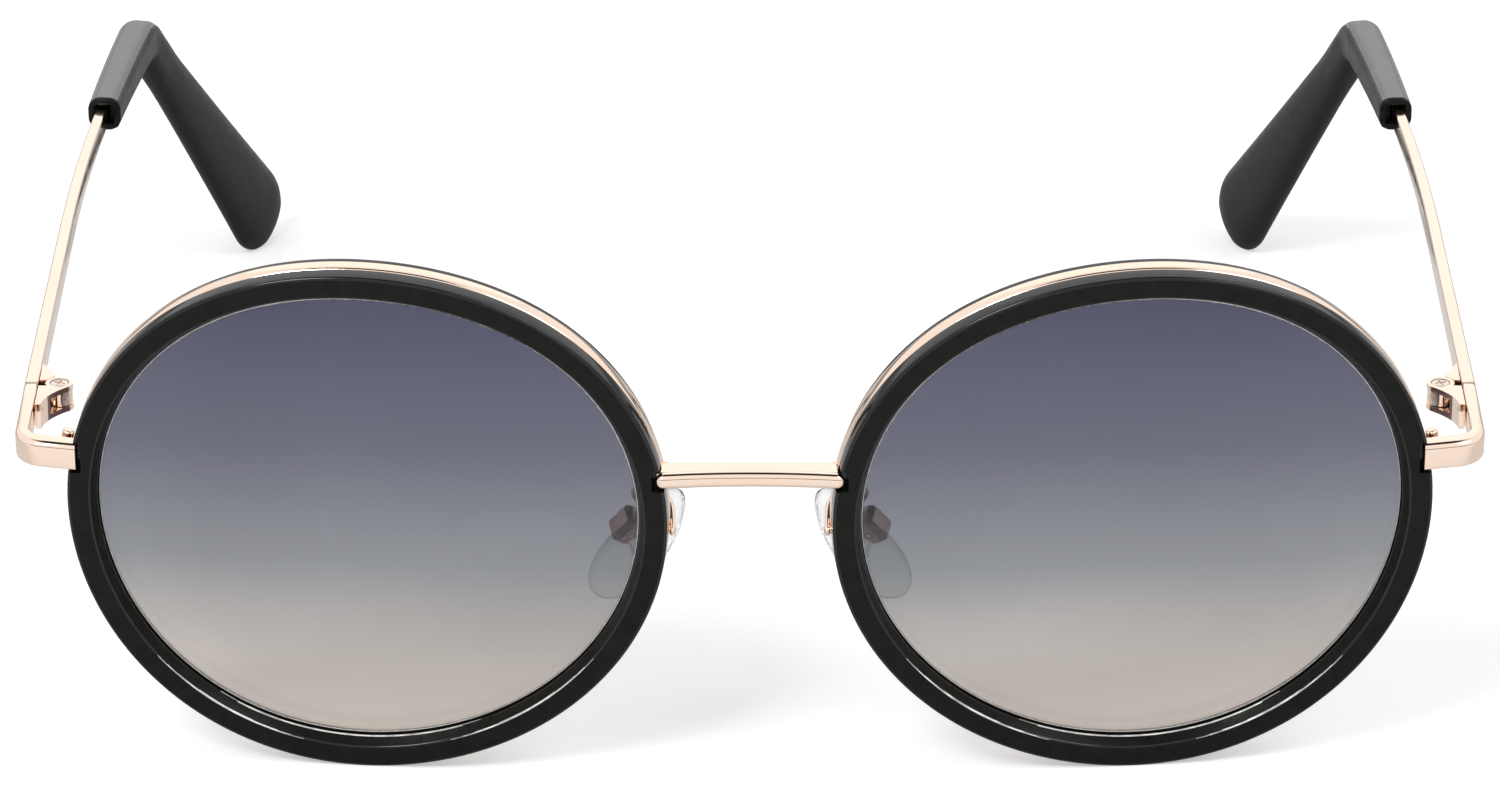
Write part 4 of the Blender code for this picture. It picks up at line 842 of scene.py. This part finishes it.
def endpiece_stations():
    """Along the outer face, seen from above: place, outward direction, thickness and round."""
    root = rim_point(rim_angle_at(HINGE_LINE, 1), ENDPIECE_INSET)
    start = front_point(root, -ENDPIECE_PROUD).to_2d()
    outward = Vector((sin(ENDPIECE_SWEEP), -cos(ENDPIECE_SWEEP)))
    along = Vector((cos(ENDPIECE_SWEEP), sin(ENDPIECE_SWEEP)))
    corner_x = outer_side - ENDPIECE_CORNER
    front_length = (corner_x + ENDPIECE_CORNER * outward.x - start.x) / along.x
    middle = start + along * front_length - outward * ENDPIECE_CORNER
    places = [(start, Vector((0.0, -1.0)), ENDPIECE_ROOT, ENDPIECE_ROUND)]
    for share in spaced(0.0, 1.0, steps=28):
        turn = (ENDPIECE_SWEEP - pi / 2) * (1 - share)
        outward = Vector((cos(turn), sin(turn)))
        thickness = ENDPIECE_ROOT + (STRIP_THICKNESS - ENDPIECE_ROOT) * share
        places.append((middle + outward * ENDPIECE_CORNER, outward, thickness, ENDPIECE_ROUND))
    bend = Vector((outer_side, HINGE_BACK - HINGE_ARM))
    end = Vector((outer_side, HINGE_BACK - JOINT_GAP / 2))
    for share in spaced(0.0, 1.0, steps=6):
        size = ENDPIECE_ROUND + (SECTION_EDGE - ENDPIECE_ROUND) * share
        places.append((bend.lerp(end, share), outward, STRIP_THICKNESS, size))
    return places


def make_endpiece():
    bend = Vector((0.0, HINGE_BACK - HINGE_ARM, HINGE_LINE))
    tilt = Matrix.Rotation(-PANTO_ANGLE, 4, "X")
    rings = []
    for place, outward, thickness, top_round in endpiece_stations():
        ring = [Vector((*(place - outward * inwards), HINGE_LINE + up))
                for inwards, up in strip_profile(thickness, top_round)]
        rings.append([bend + tilt @ (point - bend) if point.y > bend.y else point for point in ring])
    piece = build("endpiece_strip", skin(rings), front)
    root = rim_point(rim_angle_at(HINGE_LINE, 1), ENDPIECE_INSET)
    widest = rim_point(rim_angle_at(HINGE_LINE - STRIP_HEIGHT / 2, 1), -EYEWIRE_PROUD - SEAT_GAP)
    cut(piece, (root.x - OVERRUN, HINGE_LINE - STRIP_HEIGHT, SEAT_GAP - NOTCH_DEPTH - OVERRUN),
        (widest.x, HINGE_LINE + STRIP_HEIGHT, SEAT_GAP - NOTCH_DEPTH), rim_frame)
    soften(piece, FINE_EDGE / 2, segments=2, angle=radians(60.0))
    finish_pair(piece, "endpiece")


def softened_copy(name, node, width, *finishes):
    """The node's own shape with its sharp edges rounded."""
    bm = bmesh.new()
    bm.from_mesh(frame["nodes"][node].data)
    bmesh.ops.remove_doubles(bm, verts=bm.verts, dist=WELD)
    bmesh.ops.dissolve_limit(bm, angle_limit=radians(2.0), verts=bm.verts, edges=bm.edges)
    return soften(build(name, bm, Matrix.Identity(4), *finishes), width, segments=3, angle=radians(30.0))


def paint_knuckle_shade(ears):
    """Painted shade on the front of the knuckle: its faces that look forwards take a darker metal."""
    ears.data.materials.append(looks["knuckle_painted_shade"])
    to_hinge = hinge.inverted()
    for face in ears.data.polygons:
        middle = to_hinge @ face.center
        ahead = (to_hinge.to_3x3() @ face.normal).y
        if abs(middle.x) < KNUCKLE_SHADE_HALF and ahead < KNUCKLE_SHADE_FACING:
            face.material_index = len(ears.data.materials) - 1


def make_hinge():
    ears = softened_copy("hinge_ear_pair", "hinge_ears_left", HINGE_EDGE)
    paint_knuckle_shade(ears)
    finish_pair(ears, "hinge_ears")
    finish_pair(softened_copy("hinge_tab", "hinge_tongue_left", HINGE_EDGE), "hinge_tongue", body="temple")
    half = HINGE_HEIGHT / 2
    screw_pair("hinge_pin", "hinge_screw", hinge, HINGE_SCREW_RADIUS, -half, HINGE_HEAD_RADIUS,
               half - HINGE_HEAD_HEIGHT, half, HINGE_SCREW_RADIUS, *HINGE_SLOTS)


def heading(pitch, lean):
    return Vector((-sin(lean), cos(lean) * cos(pitch), -cos(lean) * sin(pitch)))


BEND_START = BEND_AT - BEND_RADIUS * tan(BEND_ANGLE / 2)
DROP_START = BEND_START + BEND_RADIUS * BEND_ANGLE
TEMPLE_END = DROP_START + DROP_LENGTH - BEND_RADIUS * tan(BEND_ANGLE / 2)
CORE_END = DROP_START + (TEMPLE_END - DROP_START) * CORE_DROP_SHARE


def temple_ring(reach, section, raised=0.0, shifted=0.0):
    """A section (x outwards, y up) placed on the temple's centre line."""
    curved = BEND_AT - TEMPLE_STRAIGHT
    back = min(reach, BEND_START)
    share = max(0.0, back - TEMPLE_STRAIGHT) / curved
    point = Vector((HINGE_OFFSET + STRIP_THICKNESS / 2 - TEMPLE_CURVE_IN * share ** 2, back, 0.0))
    lean = atan2(2 * TEMPLE_CURVE_IN * share, curved)
    pitch = min(max(0.0, (reach - back) / BEND_RADIUS), BEND_ANGLE)
    more_lean = (DROP_LEAN - lean) / BEND_ANGLE
    steps = 8
    for step in range(steps):
        part_pitch = pitch * (step + 0.5) / steps
        point += heading(part_pitch, lean + more_lean * part_pitch) * BEND_RADIUS * pitch / steps
    ahead = heading(pitch, lean + more_lean * pitch)
    point += ahead * max(0.0, reach - DROP_START)
    side = ahead.cross(Vector((0.0, sin(pitch), cos(pitch)))).normalized()
    down = max(0.0, reach - DROP_START) / (TEMPLE_END - DROP_START)
    side = Matrix.Rotation(-DROP_TWIST * pitch / BEND_ANGLE - PADDLE_TWIST * down, 3, ahead) @ side
    up = side.cross(ahead)
    return [point + side * (x - shifted) + up * (y + raised) for x, y in section]


def stations(start, end, straight_steps, bend_steps, drop_steps):
    spans = ((start, BEND_START, straight_steps), (BEND_START, DROP_START, bend_steps),
             (DROP_START, end, drop_steps))
    return [reach for span in spans for reach in spaced(*span)[:-1]] + [end]


def strip_section(share):
    return rounded_rectangle(STRIP_THICKNESS * share, STRIP_HEIGHT * share, SECTION_EDGE * share)


def make_temple():
    sizes = [(JOINT_GAP / 2, 1 - 2 * FINE_EDGE / STRIP_THICKNESS), (JOINT_GAP / 2 + FINE_EDGE, 1.0)]
    reaches = spaced(0.0, TEMPLE_STRAIGHT, steps=4)[1:] + spaced(TEMPLE_STRAIGHT, COLLAR_AT, steps=16)[1:]
    sizes += [(reach, 1 - (1 - STRIP_END_SHARE) * reach / COLLAR_AT) for reach in reaches]
    sizes.append((COLLAR_AT + MOUTH_DEPTH, STRIP_END_SHARE))
    sizes += [(reach, CORE_SHARE)
              for reach in stations(COLLAR_AT + MOUTH_DEPTH + CORE_STEP, CORE_END, *CORE_STEPS)]
    rings = [temple_ring(reach, strip_section(share)) for reach, share in sizes]
    strip = build("temple_strip", skin(rings), hinge)
    finish_pair(strip, "temple_wire", body="temple")


def oval_section(width, height, quarter_steps):
    """A crowned oval."""
    power = 2 / TIP_CROWN
    count = 4 * quarter_steps
    turns = [2 * pi * (k + 0.5) / count for k in range(count)]
    return [Vector((copysign(width / 2 * abs(cos(turn)) ** power, cos(turn)),
                    copysign(height / 2 * abs(sin(turn)) ** power, sin(turn)))) for turn in turns]


def tip_section(reach, shrink=0.0):
    """Outer section of the sleeve: a collar that flares to a flat, round-ended paddle."""
    down = max(0.0, reach - BEND_START) / (TEMPLE_END - BEND_START)
    along = min(1.0, (reach - COLLAR_AT) / (BEND_START - COLLAR_AT))
    height = COLLAR_HEIGHT + (TIP_BEND_HEIGHT - COLLAR_HEIGHT) * along
    height += (TIP_PADDLE_HEIGHT - TIP_BEND_HEIGHT) * down
    width = COLLAR_WIDTH + (TIP_BEND_WIDTH - COLLAR_WIDTH) * along
    width += (TIP_DROP_WIDTH - TIP_BEND_WIDTH) * min(1.0, TIP_NARROW_RATE * down)
    left = TEMPLE_END - reach
    if left < TIP_END_LENGTH:
        past = 1 - left / TIP_END_LENGTH
        height *= (1 - past ** TIP_END_POWER) ** (1 / TIP_END_POWER)
        width *= sqrt(1 - past ** TIP_END_WIDTH_POWER)
    width -= 2 * shrink
    height -= 2 * shrink
    edge = min(TIP_EDGE, width * TIP_EDGE_SHARE, height * TIP_EDGE_SHARE)
    crowned = min(1.0, TIP_OVAL_RATE * down)
    quarter = TIP_CORNER_STEPS + 1
    squares = rounded_rectangle(width, height, edge, TIP_CORNER_STEPS)
    ovals = oval_section(width, height, quarter)
    section = [square.lerp(oval, crowned) for square, oval in zip(squares, ovals)]
    for corner in (1, 2):
        seam = corner * quarter + TIP_CORNER_STEPS // 2
        section[seam] *= 1 + PARTING_RIDGE / section[seam].length
    return section


def bore_section(share):
    return rounded_rectangle(STRIP_THICKNESS * share + 2 * TIP_BORE_GAP,
                             STRIP_HEIGHT * share + 2 * TIP_BORE_GAP, SECTION_EDGE, TIP_CORNER_STEPS)


def sleeve_ring(reach, section):
    """The sleeve sits a little high and inwards on the strip."""
    return temple_ring(reach, section, TIP_RAISE, TIP_SHIFT_IN)


def make_tip():
    mouth = rounded_rectangle(COLLAR_WIDTH - 2 * MOUTH_WALL, COLLAR_HEIGHT - 2 * MOUTH_WALL, SECTION_EDGE,
                              TIP_CORNER_STEPS)
    floor = COLLAR_AT + MOUTH_DEPTH
    bore = stations(floor + CORE_STEP + TIP_BORE_GAP, CORE_END, *CORE_STEPS)
    rings = [temple_ring(reach, bore_section(CORE_SHARE)) for reach in reversed(bore)]
    rings += [temple_ring(reach, bore_section(STRIP_END_SHARE)) for reach in (floor + TIP_BORE_GAP, floor)]
    rings += [sleeve_ring(reach, mouth) for reach in (floor, COLLAR_AT + COLLAR_LIP / 3)]
    for share in MOUTH_LIP_SHARES:
        angle = share * pi / 2
        reach = COLLAR_AT + COLLAR_LIP * (1 - cos(angle))
        rings.append(sleeve_ring(reach, tip_section(reach, COLLAR_LIP * (1 - sin(angle)))))
    lip = len(rings)
    reaches = stations(COLLAR_AT + 2 * COLLAR_LIP, TEMPLE_END - TIP_END_LENGTH, *TIP_STEPS)
    reaches += [TEMPLE_END - TIP_END_LENGTH * (1 - sin(turn))
                for turn in spaced(0.0, TIP_END_TURN, TIP_END_STEPS)[1:]]
    rings += [sleeve_ring(reach, tip_section(reach)) for reach in reaches]
    tip = build("tip_sleeve", skin(rings, False, lambda row, k: int(row < lip)), hinge,
                "tip_plastic", "rim_plastic")
    finish_pair(tip, "temple_tip", "temple")


def smooth_route(knots, per_span):
    """Points on a smooth curve through the knots."""
    ends = [2 * knots[0] - knots[1], *knots, 2 * knots[-1] - knots[-2]]
    points = []
    for before, start, end, after in zip(ends, ends[1:], ends[2:], ends[3:]):
        for t in spaced(0.0, 1.0, per_span)[:-1]:
            points.append(((2 * start) + (end - before) * t
                           + (2 * before - 5 * start + 4 * end - after) * t ** 2
                           + (3 * start - before - 3 * end + after) * t ** 3) / 2)
    return points + [knots[-1]]


def tube(points, radii, sides=24):
    """Rings round a path, turned as little as possible from one to the next."""
    rings = []
    turns = spaced(0.0, 2 * pi, sides)[:-1]
    side = None
    for k, (point, radius) in enumerate(zip(points, radii)):
        ahead = (points[min(k + 1, len(points) - 1)] - points[max(k - 1, 0)]).normalized()
        side = ahead.orthogonal() if side is None else side - ahead * side.dot(ahead)
        side.normalize()
        up = ahead.cross(side)
        rings.append([point + (side * cos(turn) + up * sin(turn)) * radius for turn in turns])
    return rings


def make_pad_arm():
    root = rim_point(ARM_SOLDER_ANGLE, -EYEWIRE_PROUD - SEAT_GAP - ARM_RADIUS * ARM_TIP_SHARE)
    seat = -BOX_LENGTH / 2 - SEAT_GAP
    knots = [front @ front_point(root, ARM_SOLDER_DEPTH)]
    knots += [front @ (nose_side + point) for point in ARM_ROUTE]
    knots += [pad @ Vector((seat - ARM_LANDING, 0.0, 0.0)), pad @ Vector((seat, 0.0, 0.0))]
    per_span = 10
    points = smooth_route(knots, per_span)
    radii = [ARM_RADIUS * min(1.0, ARM_TIP_SHARE + (1 - ARM_TIP_SHARE) * k / (2 * per_span))
             for k in range(len(points))]
    arm = build("pad_wire", skin(tube(points, radii)), Matrix.Identity(4))
    finish_pair(arm, "pad_arm", sharp=radians(60.0))


def make_pad_box():
    housing = softened_copy("pad_housing", "pad_box_left", BOX_EDGE, "pad_metal")
    finish_pair(housing, "pad_box", sharp=radians(22.0))
    place = pad @ Matrix.Rotation(pi / 2, 4, "X")
    seat = BOX_WIDTH / 2 + SEAT_GAP
    screw_pair("pad_pin", "pad_screw", place, PAD_SCREW_RADIUS, -BOX_WIDTH / 2, PAD_HEAD_RADIUS, seat,
               seat + PAD_HEAD_HEIGHT, OVERRUN, 0.0)


def core_pocket():
    """Room for the core inside the pad: its stem, and its plate across the middle of the pad."""
    half_x = STEM_LENGTH / 2 + SEAT_GAP
    half_y = BOX_WIDTH / 2 - BOX_WALL
    floor = -BOX_BELOW + BOX_WALL + STEM_FLOOR_GAP
    stem = box("stem", (-half_x, -half_y, floor), (half_x, half_y, PAD_STAND_OFF), pad, "pad_silicone")
    half_x, half_y, half_z = [size / 2 + SEAT_GAP for size in (PLATE_LENGTH, PLATE_WIDTH, PLATE_THICKNESS)]
    low, high = PAD_STAND_OFF - half_z, PAD_STAND_OFF + half_z
    plate = box("plate", (-half_x, -half_y, low), (half_x, half_y, high), pad, "pad_silicone")
    return combine(stem, plate, "UNION")


def make_nose_pad():
    bm = bmesh.new()
    bmesh.ops.create_uvsphere(bm, u_segments=72, v_segments=36, radius=1.0)
    for vertex in bm.verts:
        x, y, z = vertex.co
        edge = sqrt(x * x + y * y)
        flat = edge ** PAD_FULLNESS_SHARE / edge if edge else 1.0
        x, y = x * flat, y * flat
        half_width = PAD_WIDTH / 2 * (1 + PAD_TAPER_SHARE * x)
        vertex.co = Vector((PAD_OFFSET + x * PAD_LENGTH / 2, y * half_width,
                            PAD_STAND_OFF + z * PAD_THICKNESS / 2 - PAD_DISH * (x * x - y * y)))
    piece = build("clear_pad", bm, pad, "pad_silicone")
    combine(piece, core_pocket(), "DIFFERENCE")
    finish_pair(piece, "nose_pad", "pad")


def make_bridge():
    face_y = front_point(rim_point(rim_angle_at(HINGE_LINE, -1)), 0.0).y
    bar_y = face_y - BAR_PROUD + BAR_DEPTH / 2
    half = RIM_GAP / 2 + BRIDGE_LAP
    end_round = BAR_HEIGHT / 2
    end_steps, middle_steps = 10, 40
    first_share = 0.2  # of a step, the size of the smallest ring
    turns = [pi / 2 * (1 - (step + first_share) / end_steps) for step in range(end_steps)]
    ends = [(half - end_round * (1 - sin(turn)), cos(turn)) for turn in turns]
    flat = [((half - end_round) * (1 - 2 * step / middle_steps), 1.0) for step in range(middle_steps + 1)]
    middle = HINGE_LINE - BAR_DROP
    section = rounded_rectangle(BAR_DEPTH, BAR_HEIGHT, BAR_ROUND, corner_steps=8)
    sizes = ends + flat + [(-x, size) for x, size in reversed(ends)]
    rings = [[Vector((x, bar_y + across * size, middle + BAR_ARCH * (1 - (x / half) ** 2) + up * size))
              for across, up in section] for x, size in sizes]
    bar = build("bridge_bar", skin(rings), front)
    top = HINGE_LINE + STRAP_TOP
    strap = box("bridge_strap", (-half, bar_y + BAR_DEPTH * STRAP_LAP_SHARE, top - STRAP_HEIGHT),
                (half, bar_y + STRAP_DEPTH, top), front)
    soften(strap, STRAP_EDGE, segments=5)
    outline = [rim_point(angle, -EYEWIRE_PROUD - SEAT_GAP) for angle in RIM_ANGLES]
    rings = [[Vector((*point, height)) for point in outline] for height in (-STRAP_DEPTH - OVERRUN, OVERRUN)]
    for flip in (Matrix.Identity(4), MIRROR):
        combine(strap, build("strap_fit", skin(rings), flip @ rim_frame), "DIFFERENCE")
    for piece in (bar, strap):
        ready(piece, "bridge", "front", SHARP_ANGLE)


def bead(name, rim_xy, depth, size, shares):
    """A small run of solder beside the rim."""
    centre = front_point(rim_xy, depth)
    bm = bmesh.new()
    bmesh.ops.create_icosphere(bm, subdivisions=4, radius=1.0)
    for vertex in bm.verts:
        point = vertex.co.copy()
        lump = 1 + BEAD_LUMP_SHARE * noise.noise(point * BEAD_LUMP_SCALE + centre / MM)
        vertex.co = Vector(part * share for part, share in zip(point, shares)) * size * lump
    piece = build(name, bm, front @ Matrix.Translation(centre))
    finish_pair(piece)


def make_solder():
    angle = rim_angle_at(HINGE_LINE + STRAP_TOP - STRAP_HEIGHT / 2, -1)
    strap_side = rim_point(angle, -EYEWIRE_PROUD - SEAT_GAP)
    bead("bridge_solder", strap_side, FLANGE_DEPTH + EYEWIRE_WIDTH / 2, BRIDGE_BEAD, BRIDGE_BEAD_SHARES)
    arm_root = rim_point(ARM_SOLDER_ANGLE, -EYEWIRE_PROUD - ARM_RADIUS * ARM_TIP_SHARE)
    bead("arm_solder", arm_root, ARM_SOLDER_DEPTH, ARM_BEAD, ARM_BEAD_SHARES)


def dress_nodes():
    """The CAD pieces that stay take their slot's finish."""
    for subpart in frame["record"]["subparts"]:
        node = frame["nodes"][subpart["node"]]
        node.data.materials.clear()
        node.data.materials.append(looks[subpart["material_slot"]])


def place_camera():
    data = bpy.data.cameras.new("view")
    data.sensor_width = SENSOR
    data.lens = SENSOR * FOCAL_PIXELS / IMAGE_WIDTH
    data.clip_start = VIEW_NEAR
    camera = link_new("view", data)
    target = front @ Vector((0.0, 0.0, VIEW_HEIGHT))
    forward = front_turn @ Vector((0.0, cos(VIEW_TILT), -sin(VIEW_TILT)))
    upward = front_turn @ Vector((0.0, sin(VIEW_TILT), cos(VIEW_TILT)))
    turn = Matrix((Vector((1.0, 0.0, 0.0)), upward, -forward)).transposed()
    camera.matrix_world = Matrix.Translation(target - forward * VIEW_DISTANCE) @ turn.to_4x4()
    scene.camera = camera


def mirrored_studio(studio):
    """What polished surfaces mirror: white all round, with dark gaps along the horizon and overhead."""
    direction = studio.split(studio.add("ShaderNodeTexCoord").outputs["Generated"])
    forward = studio.compute("MULTIPLY", direction["Y"], -1.0)
    turn = studio.range(studio.compute("ARCTAN2", direction["Z"], forward), 0.0, pi)
    panels, roof = [studio.ramp(turn, [(degrees / 180, (level,) * 3) for degrees, level in stops])
                    for stops in (PANEL_STOPS, ROOF_STOPS)]
    aside = studio.compute("ABSOLUTE", direction["X"], 0.0)
    beside = studio.range(aside, ROOF_HALF_WIDTH, ROOF_HALF_WIDTH + ROOF_FADE)
    return studio.compute("MULTIPLY", panels, studio.compute("MAXIMUM", roof, beside))


def light_world():
    world = bpy.data.worlds.new("studio")
    scene.world = world
    world.use_nodes = True
    studio = Nodes(world.node_tree)
    background = studio.tree.nodes["Background"].inputs
    looked_at = studio.seen("Is Camera Ray", "Is Glossy Ray", "Is Transmission Ray")
    studio.put(background["Strength"], studio.range(looked_at, 0.0, 1.0, WORLD_LIGHT, 1.0))
    mix = studio.add("ShaderNodeMix", {
        "Factor": studio.seen("Is Glossy Ray"), MIX_FIRST: (1.0, 1.0, 1.0, 1.0),
        MIX_SECOND: mirrored_studio(studio)}, data_type="RGBA")
    studio.put(background["Color"], mix.outputs[MIX_RESULT])


def lay_floor():
    bpy.ops.mesh.primitive_plane_add(size=FLOOR_SIZE)
    floor = bpy.context.object
    floor.name = "floor"
    paper = Shader("floor_paper", (FLOOR_GREY,) * 3, FLOOR_ROUGHNESS, Specular_IOR_Level=0.0,
                   Emission_Color=(1.0, 1.0, 1.0, 1.0))
    card = paper.range(paper.split(paper.place)["Y"], CARD_EDGE, CARD_EDGE - CARD_FADE)
    mirrored = paper.compute("MULTIPLY", paper.seen("Is Glossy Ray"), card)
    mirrored = paper.compute("MULTIPLY", mirrored, CARD_GLOW)
    direct = paper.compute("MULTIPLY", paper.seen("Is Camera Ray", "Is Transmission Ray"), FLOOR_GLOW)
    paper.feed("Emission Strength", paper.compute("MAXIMUM", direct, mirrored))
    floor.data.materials.append(looks["floor_paper"])


def hang_lamp(name, power, size, place):
    data = bpy.data.lights.new(name, "AREA")
    data.shape = "DISK"
    data.size = size
    data.energy = power
    lamp = link_new(name, data)
    lamp.location = place
    lamp.rotation_euler = (LAMP_TARGET - Vector(place)).to_track_quat("-Z", "Y").to_euler()


dress_nodes()
make_rim()
make_eyewire()
make_lens()
make_lock()
make_endpiece()
make_hinge()
make_temple()
make_tip()
make_pad_arm()
make_pad_box()
make_nose_pad()
make_bridge()
make_solder()

place_camera()
light_world()
lay_floor()
for settings in LAMPS:
    hang_lamp(*settings)

scene.view_settings.view_transform = "Standard"
